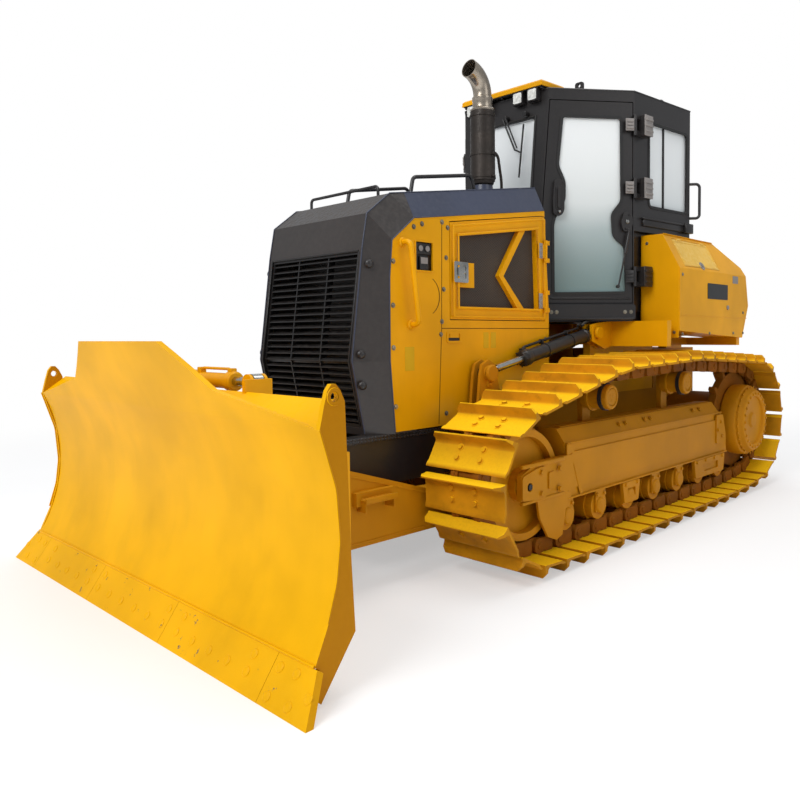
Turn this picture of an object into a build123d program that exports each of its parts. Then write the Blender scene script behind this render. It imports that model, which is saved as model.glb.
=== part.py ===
from build123d import *
import math
import os

# Millimetres. Front faces -Y, the machine's left is +X, +Z is up, the ground is Z = 0.

# Clearances
FIT = 0.05        # radial running clearance of a shaft in its bore
SEAT = 0.3        # face gap between moving neighbours
GAP = 5.0         # gap round doors, lids and moving steelwork

# Tracks
TRACK_X = 940.0       # half of the track gauge
SHOE_W = 560.0
SHOE_IN = 40.0        # pitch line to the shoe's inner face
SHOE_OUT = 55.0       # pitch line to the shoe's outer face
GROUSER = 115.0       # pitch line to the grouser's tip
RAIL_DROP = 45.0      # pitch line to the link's rail
RAIL_IN = 55.0        # rail faces measured from the track's centre
RAIL_OUT = 95.0
LINK_PITCH = 203.2
IDLER = (-960.0, 495.0, 370.0)       # y, z, pitch radius
SPROCKET = (2080.0, 588.0, 445.0)
CARRIER_R = 80.0
CARRIERS = ((-121.0, 932.0), (957.0, 962.0))      # y, z of the belt's bends
CARRIER_WRAP = 133.0
ROLLER_R = 90.0
ROLLER_Z = GROUSER + RAIL_DROP + ROLLER_R
ROLLERS_Y = (-570.0, -205.0, 160.0, 525.0, 890.0, 1255.0, 1620.0)
END_ROLLER_R = 87.7      # the end rollers, where the chain bends
IDLER_TREAD = 310.0
TF_FRONT = -600.0

# Track frame
TF_IN = 800.0
TF_OUT = 1060.0
TF_Z0 = 352.0
TF_Z1 = 690.0
TF_Z2 = 770.0
FORK = 102.0          # track centre to the idler fork's inner faces

# Main frame
MF_X = 440.0
MF_TOP = 860.0
HITCH_Y = 2710.0
HITCH_R = 26.0
NOSE_X = 490.0
NOSE_Y = -1795.0
NOSE_Z0 = 592.0
NOSE_Z1 = 790.0

# Hood
HOOD_X = 520.0        # side panels, outer face
RIDGE_X = 440.0       # top cover, width between the chamfers
SHEET = 15.0          # hood plate
GUARD_REAR = -1303.0
HOOD_REAR = -12.0
HOOD_REAR_TOP = -62.0      # the panel's rear edge leans forward to here
PANEL_KNEE = 1500.0         # height where the lean starts
RIDGE_F = 2145.0      # top height at the guard's rear edge
RIDGE_R = 2353.0      # top height at the hood's rear edge
EAVE_F = 1993.0
EAVE_R = 2185.0
DOOR_Y0 = -1010.0     # engine door
DOOR_Y1 = -62.0
DOOR_Z0 = 1428.0
DOOR_KNEE = 48.0      # level run of the door's top beside the hinges
DOOR_DROP = 36.0      # door top below the eave
DOOR_T = 36.0
ENGINE_HINGE = (HOOD_X + 12, DOOR_Y1 + 2)
ENGINE_HINGES_Z = (1560.0, 1900.0)

# Cab plan corners (left side)
CAB_A = (400.0, 160.0)
CAB_B = (808.0, 652.0)
CAB_C = (885.0, 1400.0)
CAB_D = (620.0, 1610.0)
CAB_LEAN = 60.0       # how far the front pillar moves out along the door's line
CAB_WAIST = 2210.0    # height below which the pillar stands upright
CAB_STEP = 2085.0     # height below which the side wall is set in
CAB_STEP_X = 775.0
CAB_Z0 = 1500.0
CAB_Z1 = 3025.0
CAB_T = 60.0
ROOF_EDGE = CAB_Z1 + 60.0
ROOF_Z = ROOF_EDGE + 20.0
FLOOR_Z = CAB_Z0 - 75.0
DOOR_CAB_Z0 = CAB_Z0 + 60.0
DOOR_CAB_Z1 = CAB_Z1 - 20.0
WINDOW_TOP = CAB_Z1 - 122.0
CAB_HINGES_Z = (CAB_Z0 + 250.0, CAB_Z0 + 890.0, CAB_Z1 - 185.0)
HINGE_HALF = 72.0
VISOR_X = 380.0
VISOR_T = 42.0
LAMP = 46.0           # half of a work lamp's height and width
TANK_GAP = 90.0       # cab to rear tank

# Side boxes
BOX_IN = 790.0
BOX_OUT = 1100.0
BOX_Y0 = 793.0
BOX_TOP = 2062.0
BOX_EAVE = 1806.0
BOX_TOP_X = 962.0

# Blade
BLADE_HALF = 1375.0
EDGE_TOP_HALF = 1413.0
EDGE_HALF = 1489.0
FACE = ((-2667.0, 155.0), (-2540.0, 585.0), (-2626.0, 1003.0), (-2683.0, 1150.0), (-2759.0, 1319.0))
EDGE_TIP = (-2774.0, 0.0)
BLADE_REAR = -2495.0
RIBS = (415.0, 225.0, 45.0)      # rear ribs, from the blade's end
RIB_T = 22.0
RIB_DEPTH = 38.0
RIB_Z0 = 260.0
RIB_Z1 = 900.0
BOX_REAR_TOP = 1098.0
GUARD_BASE = (731.0, 1118.0)
GUARD_TOP = (426.0, 1319.0)

# C-frame
ARM_X0 = 542.0
ARM_X1 = 620.0
LIFT_X = 581.0
LIFT_PIVOT = (300.0, 400.0)      # y, z
LIFT_EYE = (-780.0, 1100.0)
LIFT_BASE = (450.0, 1341.0)
KING = (-2330.0, 410.0)          # y of the king pin, z of the tilt pin
KING_R = 60.0
TILT_R = 70.0
TILT_END = -2425.0
THRUST_T = 15.0 - SEAT           # thrust disc, up to the yoke's plate
THRUST_R = 112.0
TILT_Z = 1130.0
TILT_BASE_X = 75.0
TILT_EYE_X = 640.0
ANGLE_Z = 725.0
ANGLE_BASE = (60.0, -2060.0)
ANGLE_EYE = (720.0, -2405.0)
CROSS_FRONT = -2205.0
BAR_Z0 = 604.0        # equalizer bar
BAR_Z1 = 688.0
PIN_R = 28.0


def box(x0, x1, y0, y1, z0, z1):
    size = Box(x1 - x0, y1 - y0, z1 - z0)
    return Pos((x0 + x1) / 2, (y0 + y1) / 2, (z0 + z1) / 2) * size


def both(part):
    return part + part.mirror(Plane.YZ)


def other(part):
    return part.mirror(Plane.YZ)


def rod(axis, radius, centre, length):
    turn = {"X": (0, 90, 0), "Y": (90, 0, 0), "Z": (0, 0, 0)}[axis]
    return Pos(*centre) * Rot(*turn) * Cylinder(radius, length)


def between(a, b, radius):
    """Round bar from point a to point b."""
    a, b = Vector(*a), Vector(*b)
    line = b - a
    plane = Plane(origin=a, z_dir=line)
    return plane * Pos(0, 0, line.length / 2) * Cylinder(radius, line.length)


def tube_path(points, radius, bend):
    """Bent bar: straight runs joined by tangent arcs."""
    path = FilletPolyline(*points, radius=bend)
    start = Plane(origin=path @ 0, z_dir=path % 0)
    return sweep(start * Circle(radius), path=path)


def yz(points, x0, x1):
    """Prism of a (y, z) outline from x0 to x1."""
    face = make_face(Polyline(*[(x0, y, z) for y, z in points], close=True))
    return extrude(face, amount=x1 - x0, dir=(1, 0, 0))


def xz(points, y0, y1):
    face = make_face(Polyline(*[(x, y0, z) for x, z in points], close=True))
    return extrude(face, amount=y1 - y0, dir=(0, 1, 0))


def xy(points, z0, z1):
    face = make_face(Polyline(*[(x, y, z0) for x, y in points], close=True))
    return extrude(face, amount=z1 - z0, dir=(0, 0, 1))


def tangent(c1, c2):
    """Outer tangent of two circles (y, z, r) passed with the circles on the left hand."""
    (y1, z1, r1), (y2, z2, r2) = c1, c2
    dy, dz = y2 - y1, z2 - z1
    dist = math.hypot(dy, dz)
    lean = math.atan2(dz, dy) - math.pi / 2 + math.asin((r1 - r2) / dist)
    out = (math.cos(lean), math.sin(lean))
    p1 = (y1 + r1 * out[0], z1 + r1 * out[1])
    p2 = (y2 + r2 * out[0], z2 + r2 * out[1])
    return lean, p1, p2


def belt(circles):
    """Pieces (start, end, centre, radius, angle, sweep) of a belt round the circles."""
    count = len(circles)
    legs = [tangent(circles[i], circles[(i + 1) % count]) for i in range(count)]
    pieces = []
    for i in range(count):
        y, z, r = circles[i]
        a0 = legs[i - 1][0]
        turn = (legs[i][0] - a0) % (2 * math.pi)
        pieces.append(("arc", y, z, r, a0, turn))
        pieces.append(("line", legs[i][1], legs[i][2]))
    return pieces


def pins():
    """Chain pins evenly spaced on the belt, running forward under the machine."""
    wheels = [IDLER]
    wheels.append((ROLLERS_Y[0], ROLLER_Z, ROLLER_R + RAIL_DROP))
    wheels.append((ROLLERS_Y[-1], ROLLER_Z, ROLLER_R + RAIL_DROP))
    wheels.append(SPROCKET)
    for y, z in reversed(CARRIERS):
        wheels.append((y, z, CARRIER_WRAP))
    run = belt(wheels)
    sizes = []
    for piece in run:
        if piece[0] == "arc":
            sizes.append(piece[3] * piece[5])
        else:
            sizes.append(math.dist(piece[1], piece[2]))
    total = sum(sizes)
    count = round(total / LINK_PITCH)
    found = []
    for i in range(count):
        at = total * i / count
        for piece, size in zip(run, sizes):
            if at < size:
                break
            at -= size
        if piece[0] == "arc":
            _, y, z, r, a0, turn = piece
            a = a0 + turn * at / size
            found.append((y + r * math.cos(a), z + r * math.sin(a)))
        else:
            (ya, za), (yb, zb) = piece[1:]
            t = at / size
            found.append((ya + (yb - ya) * t, za + (zb - za) * t))
    return found


def ring(points, offset):
    """The closed pin polygon moved outward by offset, as mitred corners."""
    count = len(points)
    moved = []
    for i in range(count):
        p, q, r = points[i - 1], points[i], points[(i + 1) % count]
        a = math.atan2(q[1] - p[1], q[0] - p[0]) - math.pi / 2
        b = math.atan2(r[1] - q[1], r[0] - q[0]) - math.pi / 2
        half = ((b - a + math.pi) % (2 * math.pi) - math.pi) / 2
        reach = offset / math.cos(half)
        moved.append((q[0] + reach * math.cos(a + half), q[1] + reach * math.sin(a + half)))
    return moved


def track():
    chain = pins()
    count = len(chain)
    outer = []
    for i in range(count):
        (ya, za), (yb, zb) = chain[i], chain[(i + 1) % count]
        size = math.dist((ya, za), (yb, zb))
        ty, tz = (yb - ya) / size, (zb - za) / size
        ny, nz = tz, -ty
        table = ((8, SHOE_OUT), (14, GROUSER), (24, GROUSER), (40, SHOE_OUT), (size - 12, SHOE_OUT))
        for along, out in table:
            outer.append((ya + ty * along + ny * out, za + tz * along + nz * out))
    half = SHOE_W / 2
    shoes = yz(outer, TRACK_X - half, TRACK_X + half)
    shoes -= yz(ring(chain, SHOE_IN), TRACK_X - half - 1, TRACK_X + half + 1)
    bottom, top = ring(chain, -RAIL_DROP), ring(chain, SHOE_IN + 8)
    body = shoes
    for side in (-1, 1):
        a = TRACK_X + side * RAIL_IN
        b = TRACK_X + side * RAIL_OUT
        rail = yz(top, min(a, b), max(a, b)) - yz(bottom, min(a, b) - 1, max(a, b) + 1)
        body += rail
    return body


def roller(y, z, tread, flange):
    hub = rod("X", tread, (TRACK_X, y, z), 2 * RAIL_OUT + 10)
    rim = rod("X", flange, (TRACK_X, y, z), 2 * RAIL_IN - 10)
    shaft = rod("X", 34 - FIT, (TRACK_X, y, z), TF_OUT - TF_IN - 2)
    return hub + rim + shaft


def track_rollers():
    out = [roller(y, ROLLER_Z, ROLLER_R - SEAT, ROLLER_R + 10) for y in ROLLERS_Y[1:-1]]
    return out + [roller(y, ROLLER_Z, END_ROLLER_R, ROLLER_R + 10) for y in (ROLLERS_Y[0], ROLLERS_Y[-1])]


def chord_distance(point, chain):
    """Least distance from a (y, z) point to the lines between neighbouring pins."""
    best = None
    for i, a in enumerate(chain):
        b = chain[(i + 1) % len(chain)]
        span = math.dist(a, b)
        t = ((point[0] - a[0]) * (b[0] - a[0]) + (point[1] - a[1]) * (b[1] - a[1])) / span ** 2
        t = min(1.0, max(0.0, t))
        near = (a[0] + (b[0] - a[0]) * t, a[1] + (b[1] - a[1]) * t)
        gap = math.dist(point, near)
        best = gap if best is None else min(best, gap)
    return best


def carrier_places():
    """Carrier roller centres, each raised until its tread meets the rails."""
    chain = pins()
    found = []
    for y, z in CARRIERS:
        for _ in range(4):
            z += chord_distance((y, z), chain) - RAIL_DROP - CARRIER_R - SEAT
        found.append((y, z))
    return found


def carrier_rollers():
    out = []
    for y, z in carrier_places():
        body = rod("X", CARRIER_R, (TRACK_X + 40, y, z), 170)
        body += rod("X", CARRIER_R + 14, (TRACK_X + 5, y, z), 20)
        body += rod("X", 42, (TRACK_X - 60, y, z), 60)
        body += rod("X", 52, (TRACK_X + 130, y, z), 30)
        out.append(body)
    return out


def idler():
    y, z, _ = IDLER
    wheel = rod("X", IDLER_TREAD, (TRACK_X, y, z), 2 * RAIL_OUT)
    wheel += rod("X", IDLER_TREAD + 20, (TRACK_X, y, z), 2 * RAIL_IN - 10)
    for side in (-1, 1):
        wheel -= rod("X", IDLER_TREAD - 40, (TRACK_X + side * 75, y, z), 60)
    wheel += rod("X", 95, (TRACK_X, y, z), 2 * RAIL_OUT)
    return wheel + rod("X", 70, (TRACK_X, y, z), 2 * (FORK - SEAT))


def sprocket():
    y, z, r = SPROCKET
    wheel = rod("X", r - 42, (TRACK_X, y, z), 60)
    teeth = 27
    for i in range(0, teeth, 2):
        turn = 360.0 * i / (teeth + 1)
        tooth = xz([(-30, r - 60), (30, r - 60), (14, r + 12), (-14, r + 12)], -28, 28)
        placed = Pos(TRACK_X, y, z) * Rot(turn, 0, 0) * Rot(0, 0, 90) * tooth
        wheel += placed
    return wheel


def final_drive():
    y, z, _ = SPROCKET
    drum = rod("X", 300, (1030, y, z), 120)
    drum += rod("X", 280, (1120, y, z), 80)
    drum = chamfer(drum.faces().sort_by(Axis.X)[-1].edges(), 22)
    for i in range(18):
        a = 2 * math.pi * i / 18
        drum += rod("X", 14, (1152, y + 262 * math.cos(a), z + 262 * math.sin(a)), 40)
    inner = rod("X", 225, (675, y, z), 470)
    return drum + inner


def frame_side():
    return [(TF_FRONT, TF_Z0), (TF_FRONT, TF_Z1), (1640, TF_Z1), (1745, 470), (1760, TF_Z0)]


def track_frame():
    beam = yz(frame_side(), TF_IN + 40, TF_OUT - 10)
    cap = [(TF_IN + 40, TF_Z1), (TF_OUT - 10, TF_Z1), (TF_OUT - 70, TF_Z2), (TF_IN + 60, TF_Z2)]
    beam += xz(cap, TF_FRONT, 1600)
    beam += box(TF_OUT - 10, TF_OUT, TF_FRONT, 1560, TF_Z0 + 60, TF_Z1 - 60)
    for a, b in ((TF_IN, TRACK_X - FORK), (TRACK_X + FORK, TF_OUT + 14)):
        fork = [(-1050, 420), (-1050, 560), (-900, 620), (-600, 620), (-600, 400), (-900, 400)]
        beam += yz(fork, a, b)
    beam += box(TF_IN, TF_OUT + 14, TF_FRONT, TF_FRONT + 60, 420, 620)
    for y in ROLLERS_Y:
        beam -= rod("X", ROLLER_R + 22, (TRACK_X, y, ROLLER_Z), 2 * RAIL_OUT + 16)
    for y, z in carrier_places():
        beam += box(TRACK_X - 84, TRACK_X - 46, y - 46, y + 46, TF_Z2 - 10, z + 44)
        beam -= rod("X", 42, (TRACK_X - 60, y, z), 60)
    y, z, r = SPROCKET
    beam -= rod("X", r + 34, (TRACK_X, y, z), 84)
    beam += rod("X", 95, (700, 1500, 560), 320)
    beam += box(560, TF_IN + 60, -60, 60, BAR_Z0, BAR_Z1)
    return beam + guide_plate()


def roller_guards():
    """Plates beside the track rollers, carrying their shafts."""
    body = None
    spans = ((45, 275), (1120, 1680))
    for plates, a, b in ((spans, TF_OUT - 16, TF_OUT - 4), (((-620, 1680),), TF_IN + 12, TF_IN + 30)):
        for y0, y1 in plates:
            piece = yz([(y0, TF_Z0), (y1, TF_Z0), (y1 - 30, 205), (y0 + 30, 205)], a, b)
            body = piece if body is None else body + piece
    for y in ROLLERS_Y:
        for a, b in ((TF_OUT - 16, TF_OUT - 4), (TF_IN + 12, TF_IN + 38)):
            body += box(a, b, y - 55, y + 55, ROLLER_Z - 40, TF_Z0)
        body -= rod("X", 34, (TRACK_X, y, ROLLER_Z), TF_OUT - TF_IN - 2)
    return body


def guide_plate():
    """Curved guard below the idler fork."""
    shape = [(-900, 402), (-580, 402), (-615, 330), (-655, 160), (-715, 140), (-800, 175), (-880, 300)]
    return yz(shape, TF_OUT - 2, TF_OUT + 14)


def main_frame():
    body = box(MF_X - 80, MF_X, -1000, 2440, 500, 860)
    body += box(-MF_X, -MF_X + 80, -1000, 2440, 500, 860)
    body += box(-MF_X, MF_X, -1000, 2440, 440, 500)
    body += box(-MF_X, MF_X, 1650, 2440, 500, 1200)
    body += box(-MF_X, MF_X, 80, 140, 500, 860)
    body += box(-MF_X, MF_X, -1000, -940, 500, 860)
    pivot = rod("X", 95, (0, *LIFT_PIVOT), 2 * (ARM_X0 - SEAT))
    pivot += both(box(MF_X - 60, ARM_X0 - SEAT, 180, 420, 330, 520))
    pin = rod("X", KING_R, (0, *LIFT_PIVOT), 2 * (ARM_X1 + 12))
    body += pivot + pin
    body += both(rod("X", 110, (MF_X + 40, 1500, 560), 200) - rod("X", 95, (MF_X + 160, 1500, 560), 320))
    body += box(-560, 560, -60, 60, BAR_Z0 + 4, BAR_Z1 - 4)
    body += box(-230, 230, 2440, 2500, 470, 1000)
    return body


def drawbar():
    """Clevis for a towed implement: two jaws with a vertical bore."""
    body = box(-95, 95, 2500, 2560, 470, 700)
    for z0, z1 in ((510, 550), (610, 650)):
        body += box(-65, 65, 2560, HITCH_Y, z0, z1) + rod("Z", 65, (0, HITCH_Y, (z0 + z1) / 2), z1 - z0)
    return body - rod("Z", HITCH_R, (0, HITCH_Y, 580), 200)


def nose():
    body = both(box(NOSE_X - 90, NOSE_X, NOSE_Y, -1000, NOSE_Z0, NOSE_Z1))
    body += box(-NOSE_X, NOSE_X, NOSE_Y, NOSE_Y + 30, NOSE_Z0 - 80, NOSE_Z1)
    body += box(-NOSE_X, NOSE_X, NOSE_Y + 30, -1200, NOSE_Z0 - 80, NOSE_Z0 - 50)
    body += both(box(NOSE_X - 90, NOSE_X, NOSE_Y + 30, -1000, NOSE_Z0 - 80, NOSE_Z0))
    body += box(-NOSE_X + 90, NOSE_X - 90, -1320, -1200, NOSE_Z0 - 50, NOSE_Z1)
    return body


GUARD_44 = ((-1614, NOSE_Z1), (-1697, 1195), (-1615, 1815), (-1580, 1998), (-1413, 2127), (GUARD_REAR, RIDGE_F))
GUARD_52 = ((-1463, NOSE_Z1), (-1495, 1195), (-1491, 1655), (-1471, 1857), (GUARD_REAR - 1, EAVE_F), (GUARD_REAR, EAVE_F))


def radiator_guard():
    """Front cowl: level brand band, sloped top and angled black corners."""
    def outline(table, x):
        points = [(x, y, z) for y, z in table]
        points.append((x, GUARD_REAR, NOSE_Z1))
        return make_face(Polyline(*points, close=True))

    mid = yz(list(GUARD_44) + [(GUARD_REAR, NOSE_Z1)], -RIDGE_X, RIDGE_X)
    corner = loft([outline(GUARD_44, RIDGE_X), outline(GUARD_52, HOOD_X)], ruled=True)
    body = mid + both(corner)
    body -= box(-415, 415, -1800, GUARD_REAR + 1, 830, 1790)
    body -= box(-485, 485, -1455, GUARD_REAR + 1, NOSE_Z1 - 1, 1790)
    inner = [(-1440, 1789), (-1440, 2085), (GUARD_REAR + 1, 2125), (GUARD_REAR + 1, 1789)]
    body -= yz(inner, -420, 420)
    return body - both(yz(panel_outline(), HOOD_X - SHEET, HOOD_X + 1))


def grille():
    """Louvred grille in its frame; the front follows the cowl."""
    front = [(-1618, 835), (-1690, 1195), (-1612, 1785)]
    body = None
    rows = 25
    z0, z1 = 850.0, 1778.0
    for i in range(rows):
        z = z0 + (z1 - z0) * (i + 0.5) / rows
        if z < front[1][1]:
            t = (z - front[0][1]) / (front[1][1] - front[0][1])
            y = front[0][0] + t * (front[1][0] - front[0][0])
        else:
            t = (z - front[1][1]) / (front[2][1] - front[1][1])
            y = front[1][0] + t * (front[2][0] - front[1][0])
        bar = [(y, z - 8), (y, z - 2), (y + 40, z + 14), (y + 40, z + 8)]
        piece = yz(bar, -414, 414)
        body = piece if body is None else body + piece
    for x in (-140, 140):
        body += yz([(y + 4, z) for y, z in front] + [(y + 46, z) for y, z in reversed(front)], x - 5, x + 5)
    for x0, x1 in ((-415, -395), (395, 415)):
        body += yz([(y + 2, z) for y, z in front] + [(y + 60, z) for y, z in reversed(front)], x0, x1)
    body += yz([(-1618, 830), (-1618, 850), (-1560, 850), (-1560, 830)], -415, 415)
    body += yz([(-1614, 1776), (-1611, 1790), (-1556, 1790), (-1556, 1776)], -415, 415)
    return body


STACK = (234.0, -372.0)
PIPE_R = 52.0
SILENCER = (2375.0, 2843.0)       # foot and top
OUTLET_R = 62.0
OUTLET_TILT = 77.0                # the outlet's turn from upright, degrees
OUTLET_BEND = (3064.0, 139.0)     # height of the bend's corner, run beyond it


def hood_section(y, top, eave, inset):
    """Open hood section as a face at y, drawn inside by inset."""
    x1, x2 = HOOD_X - inset, RIDGE_X - inset * 0.5
    points = [(-x1, eave - inset), (-x2, top - inset), (x2, top - inset), (x1, eave - inset)]
    low = eave - 30 - 3 * inset
    points = [(-x1, low)] + points + [(x1, low)]
    return make_face(Polyline(*[(x, y, z) for x, z in points], close=True))


def hood_top():
    a, b = GUARD_REAR, HOOD_REAR_TOP
    shells = []
    for inset in (0, SHEET):
        front = hood_section(a, RIDGE_F, EAVE_F, inset)
        rear = hood_section(b, ridge(b), eave(b), inset)
        shells.append(loft([front, rear], ruled=True))
    body = shells[0] - shells[1]
    cut = [(a - 1, EAVE_F - 200), (b + 1, EAVE_F - 200), (b + 1, eave(b + 1)), (a - 1, eave(a - 1))]
    body -= yz(cut, -HOOD_X - 1, HOOD_X + 1)
    return body - rod("Z", PIPE_R + SEAT, (*STACK, 2300), 400)


def eave(y):
    return EAVE_F + (EAVE_R - EAVE_F) * (y - GUARD_REAR) / (HOOD_REAR - GUARD_REAR)


def ridge(y):
    return RIDGE_F + (RIDGE_R - RIDGE_F) * (y - GUARD_REAR) / (HOOD_REAR - GUARD_REAR)


def door_top(y):
    return eave(y) - DOOR_DROP


def panel_outline():
    points = [(-1463, NOSE_Z1 + 10), (-1495, 1195), (-1491, 1655), (-1471, 1857)]
    points += [(GUARD_REAR, EAVE_F), (HOOD_REAR_TOP, eave(HOOD_REAR_TOP))]
    return points + [(HOOD_REAR, PANEL_KNEE), (HOOD_REAR, NOSE_Z1 + 10)]


def door_outline(grow):
    """Engine door outline; its rear edge leans with the panel and its top ends level."""
    knee = DOOR_Y1 - DOOR_KNEE
    points = [(DOOR_Y0 - grow, DOOR_Z0 - grow), (DOOR_Y1 + grow, DOOR_Z0 - grow)]
    points += [(DOOR_Y1 + grow, door_top(knee) + grow), (knee, door_top(knee) + grow)]
    return points + [(DOOR_Y0 - grow, door_top(DOOR_Y0) + grow)]


def side_panel():
    """Fixed side panel with the engine door's opening and the gauge window."""
    body = yz(panel_outline(), HOOD_X - SHEET, HOOD_X)
    body -= yz(door_outline(GAP), HOOD_X - 60, HOOD_X + 1)
    body -= box(HOOD_X - 60, HOOD_X + 1, -1296, -1155, 1700, 1868)
    body += box(HOOD_X - 60, HOOD_X - SHEET, GUARD_REAR, HOOD_REAR, NOSE_Z1 + 10, NOSE_Z1 + 60)
    post = [(HOOD_REAR - 40, NOSE_Z1 + 60), (HOOD_REAR, NOSE_Z1 + 60), (HOOD_REAR, PANEL_KNEE)]
    post += [(HOOD_REAR - 6, PANEL_KNEE + 60), (HOOD_REAR - 40, PANEL_KNEE + 60)]
    body += yz(post, HOOD_X - 60, HOOD_X - SHEET)
    x, y = ENGINE_HINGE
    for z in ENGINE_HINGES_Z:
        for z0, z1 in ((z - 75, z - 45 - SEAT), (z + 45 + SEAT, z + 75)):
            body += rod("Z", 10, (x, y, (z0 + z1) / 2), z1 - z0)
            body += box(HOOD_X - 6, x + 2, y + 3, y + 40, z0, z1)
    return body + grab_handle()


def engine_door():
    """Door frame with a pointed stiffener across the mesh opening."""
    x0, x1 = HOOD_X - DOOR_T, HOOD_X
    body = yz(door_outline(0), x0, x1)
    hole = [(-945, 1505), (-135, 1505), (-160, 2040), (-945, 1925)]
    body -= yz(hole, x0 - 1, x1 + 1)
    tip, tip_z = -550, 1710      # the stiffener's point
    for arm in ([(-258, 2044), (-325, 2034)], [(-285, 1500), (-355, 1500)]):
        body += yz([(tip, tip_z), (tip + 46, tip_z)] + arm, x0, x1 - 4)
    body += box(x0, x1, -945, -795, 1622, 1772)
    for z in ENGINE_HINGES_Z:
        leaf = box(HOOD_X - 6, HOOD_X + 14, DOOR_Y1 - 60, DOOR_Y1, z - 45, z + 45)
        body += rod("Z", 10, (*ENGINE_HINGE, z), 90) + leaf
    return body


def door_mesh():
    hole = [(-950, 1500), (-130, 1500), (-130, 2050), (-950, 1930)]
    return yz(hole, HOOD_X - DOOR_T - 6, HOOD_X - DOOR_T)


def grab_handle():
    run = [(HOOD_X - 6, -1395, 1850), (HOOD_X + 66, -1395, 1850), (HOOD_X + 66, -1335, 1395), (HOOD_X - 6, -1335, 1395)]
    return tube_path(run, 15, 32)


def engine():
    body = box(-270, 270, -1090, -150, 880, 1700)
    for y in (-1000, -350):
        body += both(box(200, MF_X - 20, y, y + 100, MF_TOP + SEAT, 960))
    return body


def radiator():
    return box(-400, 400, -1430, -1320, NOSE_Z1, 1900)


def exhaust():
    """Silencer with a plain stack and an outlet bent towards the front."""
    x, y = STACK
    z0, z1 = SILENCER
    body = rod("Z", PIPE_R, (x, y, (1705 + z0) / 2), z0 - 1705)
    body += rod("Z", 84, (x, y, (z0 + z1) / 2), z1 - z0)
    body = chamfer(body.edges().group_by(Axis.Z)[-1], 8)
    turn = math.radians(OUTLET_TILT)
    corner, run = OUTLET_BEND
    tubes = []
    for radius, foot, end in ((OUTLET_R, z1, run), (OUTLET_R - 5, z1 + 40, run + 1)):
        tip = (x, y - end * math.sin(turn), corner + end * math.cos(turn))
        tubes.append(tube_path([(x, y, foot), (x, y, corner), tip], radius, 150))
    return body, tubes[0] - tubes[1]


def hood_rails():
    """Rails on the hood and the cab's rear corner, cut flush where they stand."""
    run = [(300, -1120, 2166), (300, -1095, 2285), (300, -570, 2375), (300, -530, 2262)]
    top = [tube_path(run, 12, 40)]
    top.append(other(top[0]))
    run = [(-395, -1330, 2132), (-395, -1330, 2205), (250, -1330, 2205), (250, -1330, 2132)]
    top.append(tube_path(run, 9, 24))
    top = [rail - hood_top() - radiator_guard() for rail in top]
    x, y = CAB_C
    run = [(x - 60, y - 20, 2250), (x + 55, y + 60, 2250), (x + 55, y + 60, 2520), (x - 60, y - 20, 2520)]
    corner = tube_path(run, 11, 30) - cab_solid()
    return top + [corner, other(corner)]


def length(a, b):
    return math.dist(a, b)


def lean(z):
    """How far the front pillar stands out along the door's line at height z."""
    if z <= CAB_WAIST:
        return CAB_LEAN
    return CAB_LEAN * (CAB_Z1 - z) / (CAB_Z1 - CAB_WAIST)


def cab_plan(z, inset=0.0):
    """Plan outline of the cab at height z, drawn inside by inset."""
    share = lean(z) / length(CAB_A, CAB_B)
    front = (CAB_A[0] + (CAB_A[0] - CAB_B[0]) * share, CAB_A[1] + (CAB_A[1] - CAB_B[1]) * share)
    left = [front, CAB_B, CAB_C, CAB_D]
    if z < CAB_STEP:
        left[2:3] = [(CAB_STEP_X, CAB_B[1] + 68), (CAB_STEP_X, CAB_C[1])]
    face = make_face(Polyline(*left, *[(-x, y) for x, y in reversed(left)], close=True))
    if inset:
        face = offset(face, amount=-inset, kind=Kind.INTERSECTION)
    return Pos(0, 0, z) * face


def cab_solid(inset=0.0):
    """The cab's outer form: a stepped base under a body whose front leans."""
    over = 1 if inset else 0
    base = extrude(cab_plan(CAB_Z0, inset), CAB_STEP - CAB_Z0)
    waist = extrude(Pos(0, 0, CAB_STEP - CAB_WAIST) * cab_plan(CAB_WAIST, inset), CAB_WAIST - CAB_STEP)
    upper = loft([cab_plan(CAB_WAIST, inset), cab_plan(CAB_Z1, inset)], ruled=True)
    body = base + waist + upper
    if over:
        body += extrude(cab_plan(CAB_Z1, inset), over)
        body += extrude(Pos(0, 0, -over) * cab_plan(CAB_Z0, inset), over)
    return body


def facet(a, b):
    """Plane with X from a to b, Y inward and Z up."""
    return Plane(origin=(a[0], a[1], 0), x_dir=(b[0] - a[0], b[1] - a[1], 0), z_dir=(0, 0, 1))


def facet_box(a, b, u0, u1, t0, t1, z0, z1):
    return facet(a, b) * box(u0, u1, t0, t1, z0, z1)


def rounded(u0, u1, t0, t1, z0, z1, r):
    """Panel in a facet's axes with rounded corners, through thickness t0..t1."""
    slab = box(u0, u1, t0, t1, z0, z1)
    return fillet(slab.edges().filter_by(Axis.Y), r)


DOOR_L = length(CAB_A, CAB_B)
SIDE_L = length(CAB_B, CAB_C)


def leaf(t0, t1, grow, r=0):
    """Door leaf in the door's axes, grown or shrunk all round; its front edge leans."""
    z0, z1 = DOOR_CAB_Z0 - grow, DOOR_CAB_Z1 + grow
    edge = 14 - grow
    points = [(edge - lean(z0), z0), (edge - lean(CAB_WAIST), CAB_WAIST), (edge - lean(z1), z1)]
    solid = xz(points + [(DOOR_L - edge, z1), (DOOR_L - edge, z0)], t0, t1)
    if r:
        solid = fillet(solid.edges().filter_by(Axis.Y), r)
    return solid


def window(points, t0, t1, r):
    """Window outline (u, z) through thickness t0..t1 with rounded corners."""
    solid = xz(points, t0, t1)
    return fillet(solid.edges().filter_by(Axis.Y), r)


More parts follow.
